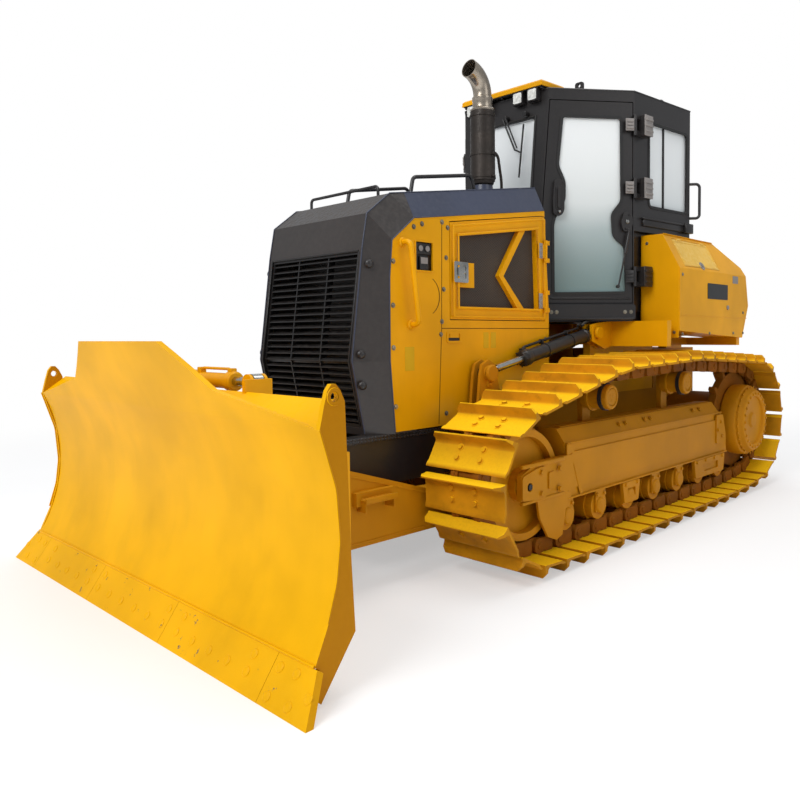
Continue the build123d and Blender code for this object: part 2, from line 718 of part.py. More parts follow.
def front_window():
    top, foot = WINDOW_TOP, 1900
    outline = [(-262, foot), (-262, CAB_WAIST), (-286, top), (286, top), (262, CAB_WAIST), (262, foot)]
    return window(outline, 60, 260, 40)


def side_window():
    outline = [(180, CAB_STEP + 186), (180, WINDOW_TOP), (SIDE_L - 32, WINDOW_TOP), (SIDE_L - 32, CAB_STEP + 186)]
    return facet(CAB_B, CAB_C) * window(outline, -20, CAB_T + 20, 50)


def rear_window():
    y = CAB_D[1]
    outline = [(-500, 2150), (-500, WINDOW_TOP), (500, WINDOW_TOP), (500, 2150)]
    return window(outline, y - CAB_T - 20, y + 20, 50)


def cab_frame():
    """Hollow cab shell with door openings, window cut-outs and the doors' hinge blocks."""
    body = cab_solid() - cab_solid(CAB_T)
    body -= front_window() + rear_window()
    cuts = side_window() + facet(CAB_A, CAB_B) * (leaf(-20, CAB_T + 40, -31, 60) + leaf(-1, 38, GAP + 1))
    body -= cuts + other(cuts)
    hx, hy = hinge_point()
    for z in CAB_HINGES_Z:
        block = facet_box(CAB_B, CAB_C, 30, 125, -68, 0, z - HINGE_HALF, z + HINGE_HALF)
        block += facet_box(CAB_B, CAB_C, 30, 56, -5, 46, z - HINGE_HALF, z + HINGE_HALF)
        for z0, z1 in ((z - HINGE_HALF, z - 40 - SEAT), (z + 40 + SEAT, z + HINGE_HALF)):
            block += rod("Z", 14, (hx, hy, (z0 + z1) / 2), z1 - z0)
            block += facet_box(CAB_B, CAB_C, -16, 31, -34, -8, z0, z1)
        body += block + other(block)
    return body


def waist_window(t0, t1):
    """Waisted door window, bulged in beside the handle and the lock."""
    w = DOOR_L
    left = [(24, 1618), (20, 2130), (42, 2195), (106, 2300), (106, 2430), (56, 2540), (92, WINDOW_TOP)]
    right = [(w - 92, WINDOW_TOP), (w - 86, 2290), (w - 160, 2200), (w - 148, 2046), (w - 62, 1976), (w - 48, 1625)]
    return window(left + right, t0, t1, 26)


def cab_door():
    """Door leaf with knuckles outside the rear edge."""
    body = facet(CAB_A, CAB_B) * (leaf(0, 34, 0) - waist_window(-1, 40))
    hx, hy = hinge_point()
    for z in CAB_HINGES_Z:
        body += rod("Z", 14, (hx, hy, z), 80)
        body += facet_box(CAB_A, CAB_B, DOOR_L - 60, DOOR_L - 16, -32, 2, z - 40, z + 40)
        body += facet_box(CAB_A, CAB_B, DOOR_L - 17, DOOR_L - 6, -32, -12, z - 40, z + 40)
    return body


def hinge_point():
    """Door hinge axis, just outside the corner of door and side."""
    plane = facet(CAB_A, CAB_B)
    point = plane.origin + plane.x_dir * (DOOR_L - 2) + plane.y_dir * (-24)
    return point.X, point.Y


def door_glass():
    return facet(CAB_A, CAB_B) * waist_window(12, 18)


def window_glass():
    """Front, rear and side panes, each following its wall."""
    pane = cab_solid(22) - cab_solid(28)
    return [pane & cut for cut in (front_window(), rear_window(), side_window())]


def roof():
    body = extrude(cab_plan(CAB_Z1), ROOF_EDGE - CAB_Z1)
    foot = Pos(0, 0, ROOF_EDGE - CAB_Z1) * cab_plan(CAB_Z1)
    return body + loft([foot, Pos(0, 0, ROOF_Z - CAB_Z1) * cab_plan(CAB_Z1, 70)], ruled=True)


def visor():
    """Sun visor on the roof's front, overhanging the windscreen."""
    x, y = VISOR_X, CAB_A[1] - 55
    plan = [(-x, y), (x, y), (x + 22, y + 265), (-x - 22, y + 265)]
    body = xy(plan, ROOF_Z, ROOF_Z + VISOR_T)
    return chamfer(body.edges().group_by(Axis.Z)[-1], 14)


def work_lights():
    out = []
    for x in (-292, -160, 160, 292):
        z = ROOF_Z - 4 - LAMP
        lamp = box(x - LAMP, x + LAMP, CAB_A[1] - 48, CAB_A[1] - 10, z - LAMP, z + LAMP)
        out.append(lamp + box(x - 8, x + 8, CAB_A[1] - 34, CAB_A[1] - 20, z, ROOF_Z))
    for x in (-560, 560):
        out.append(box(x - 50, x + 50, CAB_D[1], CAB_D[1] + 60, CAB_Z1 - 65, CAB_Z1 + 25))
    return out


def cab_floor():
    return extrude(Pos(0, 0, FLOOR_Z - CAB_Z0) * cab_plan(CAB_Z0, 12), CAB_Z0 - FLOOR_Z)


def keel(y):
    """Height of the side box's underside."""
    return 1352 - (y - BOX_Y0) * (1352 - 1291) / (1950 - BOX_Y0)


def platform():
    """Fender frame under the cab, with the lift cylinder's bracket."""
    body = box(MF_X, 1080, 640, 700, 1240, FLOOR_Z)
    foot = [(1880, 1230), (1940, 1230), (1940, keel(1940) - SEAT), (1880, keel(1880) - SEAT)]
    body += yz(foot, MF_X, 1080)
    body += yz([(640, FLOOR_Z - 60), (640, 1240), (1940, 1230), (1940, 1290), (1400, FLOOR_Z - 100)], 600, 640)
    body += box(MF_X - 60, 600, 640, 1640, FLOOR_Z - 60, FLOOR_Z)
    body += box(MF_X - 60, MF_X, 640, 1640, 860, FLOOR_Z - 60)
    y, z = LIFT_BASE
    cheek = [(y - 70, z - 60), (y - 70, z + 60), (y + 10, z + 74), (640, FLOOR_Z), (640, 1240), (560, 1220)]
    for a, b in ((LIFT_X - 42, LIFT_X - 22), (LIFT_X + 22, LIFT_X + 42)):
        body += yz(cheek, a, b)
    body += rod("X", PIN_R, (LIFT_X, y, z), 104)
    return body


def side_box():
    """Fender box with a sloped, lidded shoulder."""
    section = [(BOX_IN, 1290), (BOX_IN, BOX_TOP), (BOX_TOP_X, BOX_TOP), (BOX_OUT, BOX_EAVE), (BOX_OUT, 1290)]
    body = xz(section, BOX_Y0, 2080)
    tail = [(1640, BOX_TOP + 1), (2000, 1877), (2075, 1560), (1950, 1289), (2100, 1289), (2100, BOX_TOP + 1)]
    body -= yz(tail, BOX_IN - 1, BOX_OUT + 1)
    low = [(BOX_Y0 - 1, 1280), (BOX_Y0 - 1, keel(BOX_Y0 - 1)), (1970, keel(1970)), (1970, 1280)]
    body -= yz(low, BOX_IN - 1, BOX_OUT + 1)
    hollow = [(BOX_IN + 12, 1420), (BOX_IN + 12, 2000), (BOX_TOP_X - 10, 2000), (BOX_OUT - 14, 1790), (BOX_OUT - 14, 1420)]
    body -= xz(hollow, BOX_Y0 + 16, 1600)
    body -= lid_solid(GAP)
    return body


def lid_solid(grow):
    """Sloped lid on the shoulder; grow opens its seat."""
    dx, dz = BOX_OUT - BOX_TOP_X, BOX_EAVE - BOX_TOP
    run = math.hypot(dx, dz)
    plane = Plane(origin=(BOX_TOP_X, 0, BOX_TOP), x_dir=(dx / run, 0, dz / run), z_dir=(-dz / run, 0, dx / run))
    return plane * box(34 - grow, run - 26 + grow, 900 - grow, 1500 + grow, -14 if not grow else -40, 0 if not grow else 2)


def box_lid():
    body = lid_solid(0)
    hx, hz = lid_hinge()
    for y in (1000, 1400):
        body += rod("Y", 8, (hx, y, hz), 60)
    return body


def lid_hinge():
    dx, dz = BOX_OUT - BOX_TOP_X, BOX_EAVE - BOX_TOP
    run = math.hypot(dx, dz)
    ux, uz = dx / run, dz / run
    return BOX_TOP_X + ux * 36 - uz * 4, BOX_TOP + uz * 36 + ux * 4


def rear_tank():
    y0 = CAB_D[1] + TANK_GAP
    body = box(-700, 700, y0, y0 + 560, 1310, 1990)
    body = chamfer(body.edges().filter_by(Axis.X).group_by(Axis.Y)[-1], 60)
    return body + both(box(360, MF_X, y0 + 200, y0 + 500, 1200, 1310))


def seat():
    body = box(-120, 120, 800, 1100, CAB_Z0, 1800)
    cushion = box(-250, 250, 720, 1200, 1800, 1930)
    back = box(-240, 240, 1110, 1210, 1930, 2520)
    cushion = fillet(cushion.edges(), 35)
    back = fillet(back.edges(), 30)
    arms = both(box(255, 330, 760, 1120, 2040, 2110) + box(270, 320, 1080, 1180, 1860, 2040))
    return body + cushion + back + arms + both(box(235, 275, 1120, 1180, 1880, 1960))


def console():
    body = yz([(260, CAB_Z0), (260, 2050), (330, 2120), (470, 2000), (420, CAB_Z0)], -250, 250)
    for x in (-330, 330):
        side = box(x - 45, x + 45, 620, 1060, CAB_Z0, 1990)
        lever = rod("Z", 12, (x, 700, 2060), 150) + Pos(x, 700, 2140) * Sphere(26)
        body += side + lever
    return body


def c_frame():
    y, z = LIFT_PIVOT
    arm = [(390, 330), (390, 470), (-1200, 478), (-1337, 483), (-1898, 664), (-2080, 664), (-2080, 252), (-1200, 245), (250, 300)]
    left = yz(arm, ARM_X0, ARM_X1)
    left += rod("X", 105, (LIFT_X, y, z), ARM_X1 - ARM_X0)
    left -= rod("X", KING_R + FIT, (LIFT_X, y, z), 200)
    ey, ez = LIFT_EYE
    cheek = [(-1010, 470), (-880, 880), (ey - 76, ez - 10), (ey - 58, ez + 55), (ey, ez + 82), (ey + 58, ez + 55)]
    cheek += [(ey + 76, ez - 10), (-640, 880), (-560, 470)]
    for a, b in ((ARM_X0, ARM_X0 + 20), (ARM_X1 - 20, ARM_X1)):
        left += yz(cheek, a, b)
    left += yz([(-1010, 470), (-880, 880), (-640, 880), (-560, 470)], ARM_X0 + 20, ARM_X1 - 20)
    left += rod("X", 48, (ARM_X1 + 5, ey, ez), 14)
    return left


def c_frame_full():
    left = c_frame()
    body = left + other(left)
    body += box(-ARM_X1, ARM_X1, CROSS_FRONT, -2060, 255, 520)
    ky = KING[0]
    for z0, z1 in ((270, 320), (500, 550)):
        lug = box(-95, 95, ky, -2200, z0, z1)
        lug += rod("Z", 95, (0, ky, (z0 + z1) / 2), z1 - z0)
        lug -= rod("Z", KING_R + FIT, (0, ky, (z0 + z1) / 2), 200)
        body += lug
    body += box(-95, 95, -2205, -2060, 500, 550)
    bx, by = ANGLE_BASE
    body += box(-80, 80, CROSS_FRONT + 15, -2062, 520, ANGLE_Z - 60)
    body += box(-bx, bx, by - 45, by + 60, ANGLE_Z - 80, ANGLE_Z - 26)
    body += box(-bx, bx, by + 48, by + 60, ANGLE_Z - 26, ANGLE_Z + 44)
    for z0, z1 in ((ANGLE_Z - 44, ANGLE_Z - 26), (ANGLE_Z + 26, ANGLE_Z + 44)):
        body += box(-bx, bx, by - 36, by + 60, z0, z1)
        body += both(rod("Z", 40, (bx, by, (z0 + z1) / 2), z1 - z0))
    body += both(rod("Z", PIN_R, (bx, by, ANGLE_Z), 100))
    step = both(box(ARM_X1, ARM_X1 + 34, -1855, -1600, 470, 540))
    return body + step


def yoke():
    """Swings the blade on the king pin and carries the tilt cylinder's tower."""
    ky, tz = KING
    hub = rod("Z", 95, (0, ky, 410), 170)
    pin = rod("Z", KING_R, (0, ky, 410), 300)
    neck = box(-86, 86, -2440, ky, 328, 492)
    plate = box(-150, 150, -2480, -2430, 290, 560)
    tower = xz([(-130, 560), (130, 560), (60, 1205), (-60, 1205)], -2480, -2450)
    tower += box(-14, 14, -2450, -2370, 560, 1100)
    ex, ey = ANGLE_EYE
    beam = box(-ex - 70, ex + 70, -2480, -2455, ANGLE_Z - 70, ANGLE_Z + 70)
    beam -= both(box(ex - 56, ex + 52, -2481, -2454, ANGLE_Z - 24, ANGLE_Z + 24))
    body = hub + pin + neck + plate + tower + beam
    socket = (TILT_END + SEAT, -2490)
    body -= rod("Y", TILT_R + FIT, (0, sum(socket) / 2, tz), socket[0] - socket[1])
    for z0, z1 in ((ANGLE_Z - 40, ANGLE_Z - 24), (ANGLE_Z + 24, ANGLE_Z + 40)):
        ear = box(ex - 38, ex + 38, -2458, ey, z0, z1) + rod("Z", 38, (ex, ey, (z0 + z1) / 2), z1 - z0)
        body += both(ear)
    bx = TILT_BASE_X
    for y0, y1 in ((-2450, -2436), (-2384, -2370)):
        cheek = box(-30, bx + 4, y0, y1, TILT_Z - 42, TILT_Z + 42)
        body += cheek + rod("Y", 42, (bx, (y0 + y1) / 2, TILT_Z), y1 - y0)
    body += box(-30, 20, -2450, -2370, TILT_Z - 42, TILT_Z + 42)
    body += rod("Y", PIN_R, (bx, -2410, TILT_Z), 90)
    return body


def face_curve(x):
    """The blade's hollow face from the cutting edge's top to the guard's tip."""
    p = [(x, y, z) for y, z in FACE]
    return ThreePointArc(p[0], p[1], p[2]), ThreePointArc(p[2], p[3], p[4])


def blade():
    x = -BLADE_HALF
    low, high = face_curve(x)
    rear = Polyline((x, *FACE[2]), (x, BLADE_REAR, BOX_REAR_TOP), (x, BLADE_REAR, 200), (x, -2560, 110), (x, *FACE[0]))
    body = extrude(make_face(Curve() + [low, rear]), amount=2 * BLADE_HALF, dir=(1, 0, 0))
    y3, z3 = FACE[2]
    y4, z4 = FACE[4]
    back = ThreePointArc((x, y4 + 24, z4 + 8), (x, FACE[3][0] + 25, FACE[3][1] + 8), (x, y3 + 26, z3 - 10))
    strip = make_face(Curve() + [high, Line((x, y4, z4), (x, y4 + 24, z4 + 8)), back, Line((x, y3 + 26, z3 - 10), (x, y3, z3))])
    wall = extrude(strip, amount=2 * BLADE_HALF, dir=(1, 0, 0))
    (bx, bz), (tx, tz) = GUARD_BASE, GUARD_TOP
    edge = BLADE_HALF
    outline = [(-edge, z3 - 40), (-edge, z3), (-bx, bz), (-tx, tz), (tx, tz), (bx, bz), (edge, z3), (edge, z3 - 40)]
    wall = wall & xz(outline, -2900, -2400)
    body += wall
    side = [(-2626, 1003), (-2606, 1085), (-2590, 1140), (-2572, 1163), (-2552, 1163), (-2532, 1140)]
    side += [(-2512, 1098), (-2492, 500), (-2478, 235), (-2640, 16), (-2695, 62), (-2644, 142), (-2664, 157)]
    side += [(-2600, 300), (-2560, 440), (-2542, 585), (-2556, 780)]
    plate = yz(side, BLADE_HALF, BLADE_HALF + 22)
    plate -= rod("X", 17, (BLADE_HALF + 11, -2560, 1117), 60)      # lifting eye
    return body + both(plate)


def tilt_bracket(board):
    """Ears for the tilt cylinder's eye, cut to the back of the board."""
    ex = TILT_EYE_X
    body = box(ex + 50, ex + 70, BLADE_REAR - 10, -2368, TILT_Z - 130, TILT_Z + 20)
    body += box(ex - 40, ex + 70, BLADE_REAR - 10, -2368, TILT_Z - 130, TILT_Z - 60)
    for y0, y1 in ((-2452, -2438), (-2382, -2368)):
        ear = box(ex - 40, ex + 70, y0, y1, TILT_Z - 60, TILT_Z + 20)
        body += ear + rod("Y", 40, (ex, (y0 + y1) / 2, TILT_Z), y1 - y0)
    return body - board


def blade_rib(inset):
    """Upright stiffener welded to the back of the blade."""
    x = BLADE_HALF - inset
    return box(x, x + RIB_T, BLADE_REAR, BLADE_REAR + RIB_DEPTH, RIB_Z0, RIB_Z1)


def blade_pivot():
    """Thrust disc and trunnion that the blade tilts about."""
    back = BLADE_REAR + THRUST_T
    disc = rod("Y", THRUST_R, (0, (BLADE_REAR + back) / 2, KING[1]), back - BLADE_REAR)
    return disc + rod("Y", TILT_R, (0, (BLADE_REAR + TILT_END) / 2, KING[1]), TILT_END - BLADE_REAR)


def cutting_edge():
    """Edge plates and end bits, one row across the blade's foot."""
    (y0, z0), (y1, z1) = EDGE_TIP, FACE[0]
    run = math.dist((y0, z0), (y1, z1))
    uy, uz = (y1 - y0) / run, (z1 - z0) / run
    t = 26.0
    shape = [(y0, z0), (y1, z1), (y1 + t * uz, z1 - t * uy), (y0 + t * uz + 12, z0)]
    bar = yz(shape, -EDGE_HALF, EDGE_HALF)
    outline = [(-EDGE_HALF, -1), (-EDGE_TOP_HALF, z1 + 1), (EDGE_TOP_HALF, z1 + 1), (EDGE_HALF, -1)]
    bar = bar & xz(outline, y0 - 5, y1 + 60)
    cuts = [-1180, -395, 395, 1180]
    for x in cuts:
        bar -= box(x - 1, x + 1, y0 - 5, y1 + 60, -5, z1 + 5)
    return bar


# Cylinders: barrel and rod radius, barrel start and end, eye width, rod start, eye neck
LIFT_SIZES = (46.0, 26.0, 102.0, 860.0, 32.0, 480.0, 112.0)
ANGLE_SIZES = (38.0, 21.0, 60.0, 480.0, 40.0, 260.0, 62.0)
TILT_SIZES = (36.0, 22.0, 58.0, 400.0, 46.0, 200.0, 62.0)

NECK = 0.45      # neck radius as a share of the eye's width


def cylinder(base, eye, axis, sizes):
    """Barrel and rod between two pins; the rod runs clear in the barrel's bore."""
    r_barrel, r_rod, start, end, width, rod_start, neck = sizes
    a, b = Vector(*base), Vector(*eye)
    d = (b - a).normalized()
    barrel = between(a + d * start, a + d * end, r_barrel)
    barrel += between(a + d * (end - 46), a + d * (end - 6), r_barrel + 7)
    barrel += between(a + d * 20, a + d * (start + 1), width * NECK)
    barrel += rod(axis, 42, base, width)
    barrel -= rod(axis, PIN_R + FIT, base, width + 4)
    barrel -= between(a + d * (start + 30), a + d * (end + 1), r_rod + FIT)
    shaft = between(a + d * rod_start, b - d * neck, r_rod)
    shaft += between(b - d * (neck + 1), b - d * 20, min(width * NECK, r_rod - 1))
    shaft += rod(axis, 40, eye, width)
    return barrel, shaft


def lift_cylinder():
    return cylinder((LIFT_X, *LIFT_BASE), (LIFT_X, *LIFT_EYE), "X", LIFT_SIZES)


def angle_cylinder():
    return cylinder((*ANGLE_BASE, ANGLE_Z), (*ANGLE_EYE, ANGLE_Z), "Z", ANGLE_SIZES)


def tilt_cylinder():
    return cylinder((TILT_BASE_X, -2410, TILT_Z), (TILT_EYE_X, -2410, TILT_Z), "Y", TILT_SIZES)


def save(name, solids, colour):
    if not isinstance(solids, list):
        solids = [solids]
    shape = Compound(children=[s for s in solids]) if len(solids) > 1 else solids[0]
    shape.label = name
    shape.color = Color(*colour)
    export_step(shape, "parts/" + name + ".step")


YELLOW = (0.95, 0.68, 0.03)
OCHRE = (0.72, 0.47, 0.05)
BLACK = (0.05, 0.05, 0.05)
GREY = (0.22, 0.23, 0.25)
STEEL = (0.6, 0.6, 0.6)
GLASS = (0.7, 0.8, 0.82)


def main():
    os.makedirs("parts", exist_ok=True)
    muffler, stack = exhaust()
    front, rear, side = window_glass()
    board = blade()
    rows = [
        ("main_frame", main_frame(), OCHRE), ("drawbar", drawbar(), OCHRE), ("nose_frame", nose(), BLACK),
        ("radiator_guard", radiator_guard(), GREY), ("front_grille", grille(), BLACK),
        ("hood_top", hood_top(), GREY), ("engine_block", engine(), GREY), ("radiator_core", radiator(), BLACK),
        ("silencer", muffler, BLACK), ("exhaust_stack", stack, STEEL), ("handrails", hood_rails(), BLACK),
        ("cab_frame", cab_frame(), BLACK), ("cab_roof", roof(), BLACK), ("roof_visor", visor(), YELLOW),
        ("work_lights", work_lights(), BLACK), ("cab_floor", cab_floor(), BLACK),
        ("cab_glass", [front, rear, side, other(side)], GLASS), ("operator_seat", seat(), BLACK),
        ("cab_console", console(), BLACK), ("rear_tank", rear_tank(), YELLOW), ("c_frame", c_frame_full(), OCHRE),
        ("blade_yoke", yoke(), YELLOW), ("blade_board", board, YELLOW), ("cutting_edge", cutting_edge(), YELLOW),
        ("blade_pivot", blade_pivot(), YELLOW), ("tilt_bracket", tilt_bracket(board), YELLOW),
    ]
    shared = [
        ("side_panels", side_panel(), YELLOW), ("platforms", platform(), YELLOW), ("side_boxes", side_box(), YELLOW),
        ("track_frames", track_frame(), OCHRE), ("idlers", idler(), OCHRE), ("track_rollers", track_rollers(), OCHRE),
        ("carrier_rollers", carrier_rollers(), OCHRE), ("sprockets", sprocket(), OCHRE),
        ("final_drives", final_drive(), OCHRE), ("roller_guards", roller_guards(), OCHRE),
        ("blade_ribs", [blade_rib(inset) for inset in RIBS], YELLOW),
    ]
    pairs = [
        ("track", track(), OCHRE), ("engine_door", engine_door(), YELLOW), ("door_mesh", door_mesh(), BLACK),
        ("cab_door", cab_door(), BLACK), ("door_glass", door_glass(), GLASS), ("box_lid", box_lid(), YELLOW),
    ]
    for name, maker in (("lift", lift_cylinder), ("angle", angle_cylinder)):
        barrel, shaft = maker()
        pairs.append((name + "_barrel", barrel, BLACK))
        pairs.append((name + "_rod", shaft, STEEL))
    barrel, shaft = tilt_cylinder()
    rows.append(("tilt_barrel", barrel, YELLOW))
    rows.append(("tilt_rod", shaft, STEEL))
    for name, shape, colour in rows:
        save(name, shape, colour)
    for name, shape, colour in shared:
        group = shape if isinstance(shape, list) else [shape]
        save(name, group + [other(s) for s in group], colour)
    for name, shape, colour in pairs:
        save(name + "_l", shape, colour)
        save(name + "_r", other(shape), colour)


if __name__ == "__main__":
    main()
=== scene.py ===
import bpy
import math
from contextlib import contextmanager
from mathutils import Matrix, Vector


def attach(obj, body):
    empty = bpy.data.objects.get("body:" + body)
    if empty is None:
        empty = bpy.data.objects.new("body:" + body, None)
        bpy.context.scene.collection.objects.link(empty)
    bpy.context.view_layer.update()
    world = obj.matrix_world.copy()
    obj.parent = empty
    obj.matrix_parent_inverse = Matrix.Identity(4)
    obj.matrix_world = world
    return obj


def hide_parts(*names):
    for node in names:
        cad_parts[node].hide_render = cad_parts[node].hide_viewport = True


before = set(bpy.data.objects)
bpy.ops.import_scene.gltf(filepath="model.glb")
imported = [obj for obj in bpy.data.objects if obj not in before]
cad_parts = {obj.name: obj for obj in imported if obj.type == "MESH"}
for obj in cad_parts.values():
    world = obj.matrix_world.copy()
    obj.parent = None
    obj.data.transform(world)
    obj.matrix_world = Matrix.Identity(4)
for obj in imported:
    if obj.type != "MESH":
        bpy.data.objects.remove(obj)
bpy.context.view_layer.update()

bl_info = {
    "name": "Crawler bulldozer",
    "version": (1, 0, 0),
    "blender": (4, 5, 0),
    "location": "3D View > Sidebar > Bulldozer",
    "description": "Dresses the bulldozer's frame with its tracks, fittings, glass and paint",
    "category": "Object",
}

BOTH = (1, -1)
SIDE = {1: "_l", -1: "_r"}


# ---------------------------------------------------------------- shader nodes

class Value:
    """A shader value; arithmetic on it adds Math nodes."""

    def __init__(self, tree, socket):
        self.tree = tree
        self.socket = socket

    def math(self, operation, *sockets):
        return self.tree.add("ShaderNodeMath", {"operation": operation}, dict(enumerate(sockets)))

    def __add__(self, other):
        return self.math("ADD", self, other)

    def __radd__(self, other):
        return self.math("ADD", other, self)

    def __sub__(self, other):
        return self.math("SUBTRACT", self, other)

    def __rsub__(self, other):
        return self.math("SUBTRACT", other, self)

    def __mul__(self, other):
        return self.math("MULTIPLY", self, other)

    def __rmul__(self, other):
        return self.math("MULTIPLY", other, self)

    def abs(self):
        return self.math("ABSOLUTE", self)

    def wave(self):
        return self.math("SINE", self)

    def most(self, other):
        return self.math("MAXIMUM", self, other)

    def step(self, low, high, to_low=0.0, to_high=1.0):
        """Smooth ramp from low to high, clamped."""
        settings = {"clamp": True, "interpolation_type": "SMOOTHSTEP"}
        return self.tree.add("ShaderNodeMapRange", settings, {0: self, 1: low, 2: high, 3: to_low,
            4: to_high})


class Tree:
    """The nodes of a material or of the surroundings, all added by one method."""

    def __init__(self, owner, end):
        owner.use_nodes = True
        self.nodes = owner.node_tree.nodes
        self.links = owner.node_tree.links
        self.nodes.clear()
        self.end = self.nodes.new(end)

    def feed(self, node, sockets):
        """Gives a node's sockets their values or links."""
        for key, value in sockets.items():
            if isinstance(value, Value):
                self.links.new(value.socket, node.inputs[key])
            else:
                node.inputs[key].default_value = value

    def add(self, kind, settings, sockets, output=0):
        """Any node: its type, settings, socket values or links, and the output wanted."""
        node = self.nodes.new(kind)
        for key, value in settings.items():
            if key == "stops":
                ramp = node.color_ramp
                while len(ramp.elements) < len(value):
                    ramp.elements.new(0.5)
                for element, (position, colour) in zip(ramp.elements, value):
                    element.position = position
                    element.color = colour
            else:
                setattr(node, key, value)
        self.feed(node, sockets)
        return Value(self, node.outputs[output])


class Finish(Tree):
    """A material built round one Principled shader."""

    def __init__(self, name, roughness=0.5, metallic=0.0, **fixed):
        self.material = bpy.data.materials.new(name)
        super().__init__(self.material, "ShaderNodeOutputMaterial")
        self.surface = self.add("ShaderNodeBsdfPrincipled", {},
            {"Roughness": roughness, "Metallic": metallic})
        self.feed(self.end, {0: self.surface})
        for socket, value in fixed.items():
            self.put(socket.replace("_", " "), value)
        self.place = self.add("ShaderNodeTexCoord", {}, {}, "Object")

    def put(self, socket, value):
        self.feed(self.surface.socket.node, {socket: value})

    def axis(self, index):
        return self.add("ShaderNodeSeparateXYZ", {}, {0: self.place}, index)

    def noise(self, scale, detail=4.0, roughness=0.55, stretch=None):
        spot = self.add("ShaderNodeMapping", {}, {0: self.place, 3: stretch}) if stretch else self.place
        values = {"Vector": spot, "Scale": scale, "Detail": detail, "Roughness": roughness}
        return self.add("ShaderNodeTexNoise", {}, values, "Fac")

    def cells(self, scale):
        return self.add("ShaderNodeTexVoronoi", {}, {"Vector": self.place, "Scale": scale}, "Distance")

    def mix(self, amount, first, second):
        """Colour mix of two colours or colour values."""
        settings = {"data_type": "RGBA", "clamp_factor": True}
        return self.add("ShaderNodeMix", settings, {0: amount, 6: first, 7: second}, 2)

    def facing(self, axis=2):
        """How far the surface faces along an axis, from -1 to 1."""
        normal = self.add("ShaderNodeNewGeometry", {}, {}, "Normal")
        return self.add("ShaderNodeSeparateXYZ", {}, {0: normal}, axis)

    def done(self, tone, rough, height, strength, distance):
        """Feeds colour, roughness and bump to the shader and hands over the material."""
        values = {"Height": height, "Strength": strength, "Distance": distance}
        self.put("Base Color", tone)
        self.put("Roughness", rough)
        self.put("Normal", self.add("ShaderNodeBump", {}, values))
        return self.material


def rgba(colour):
    """A colour written as it looks, from 0 to 255, as a shader colour."""
    linear = [((c / 255 + 0.055) / 1.055) ** 2.4 if c > 10 else c / 255 / 12.92 for c in colour]
    return (*linear, 1.0)


def shade(colour, factor):
    return tuple(c * factor for c in colour)


def painted(name, colour, dust=(186, 136, 44), dusty=0.25, chips=0.0, metal=(96, 88, 80), gloss=0.38,
        depth=0.0015, shine=0.16, sides=0.0):
    """Sprayed steel: slight unevenness, dust on what faces up, chips to dark metal, painted side shade."""
    paint = Finish(name, gloss, 0.0, Specular_IOR_Level=shine)
    broad = paint.noise(1.6, 3.0)
    fine = paint.noise(38.0, 5.0, 0.6)
    streak = paint.noise(9.0, 4.0, 0.6, (1.0, 1.0, 0.18))
    tone = paint.mix(broad.step(0.3, 0.72), rgba(shade(colour, 0.9)), rgba(colour))
    tone = paint.mix(streak.step(0.45, 0.85, 0.0, 0.14), tone, rgba(shade(colour, 0.76)))
    # sides darkens and warms faces that point sideways: painted shade
    if sides:
        side_shade = paint.facing(0).abs().step(0.75, 0.98, 0.0, sides)
        tone = paint.mix(side_shade, tone, rgba((colour[0] * 0.72, colour[1] * 0.62, colour[2])))
    dirt = paint.facing().step(0.1, 0.9, 0.15, 1.0) * fine.step(0.35, 0.7) * dusty
    tone = paint.mix(dirt, tone, rgba(dust))
    rough = dirt.step(0.0, 0.5, gloss, 0.8)
    if chips:
        spots = paint.noise(14.0, 6.0, 0.72)
        worn = spots.step(0.74 - chips * 0.12, 0.76 - chips * 0.12)
        tone = paint.mix(worn, tone, rgba(metal))
        rough = rough + worn * 0.2
    return paint.done(tone, rough, fine * 0.4 + streak * 0.3 + broad, 0.25, depth)


def cast(name, colour, dusty, upper):
    """Painted castings and shoes that run in dirt: mottled, paler where they face up, worn in places."""
    paint = Finish(name, 0.62, 0.0, Specular_IOR_Level=0.14)
    broad = paint.noise(3.2, 4.0)
    grit = paint.noise(70.0, 6.0, 0.7)
    patch = paint.noise(11.0, 5.0, 0.65)
    tone = paint.mix(broad.step(0.32, 0.7), rgba(shade(colour, 0.82)), rgba(colour))
    tone = paint.mix(patch.step(0.5, 0.78, 0.0, 0.45), tone, rgba(shade(colour, 0.6)))
    # Upward faces turn towards upper: painted top light on the shoes, dust on the links
    tone = paint.mix(paint.facing().step(0.1, 0.9) * grit.step(0.1, 0.6, 0.6, 1.0) * dusty, tone,
        rgba(upper))
    tone = paint.mix((grit * patch).step(0.4, 0.5, 0.0, 0.6), tone, rgba((92, 62, 30)))
    return paint.done(tone, broad.step(0.3, 0.7, 0.52, 0.74), grit * 0.5 + patch, 0.35, 0.003)


def bare(name, colour, rough=0.3, metallic=1.0, brushed=(1, 1, 1)):
    """Bare or plated metal with fine wear."""
    metal = Finish(name, rough, metallic)
    grain = metal.noise(60.0, 4.0, 0.6, brushed)
    cloud = metal.noise(5.0, 3.0)
    return metal.done(metal.mix(cloud.step(0.3, 0.75), rgba(shade(colour, 0.72)), rgba(colour)),
        grain.step(0.3, 0.7, rough * 0.75, min(1.0, rough * 1.5)), grain, 0.15, 0.0006)


def rubbery(name, colour, rough=0.6, scale=120.0, depth=0.0006):
    """Rubber and moulded plastic with a fine pebbled skin."""
    skin = Finish(name, rough)
    pebble = skin.cells(scale)
    cloud = skin.noise(4.0, 3.0)
    tone = skin.mix(cloud.step(0.3, 0.7), rgba(shade(colour, 0.8)), rgba(colour))
    return skin.done(skin.mix(skin.facing().step(0.3, 1.0, 0.0, 0.25), tone, rgba((120, 112, 100))),
        cloud.step(0.3, 0.7, rough * 0.85, min(1.0, rough * 1.15)), pebble, 0.3, depth)


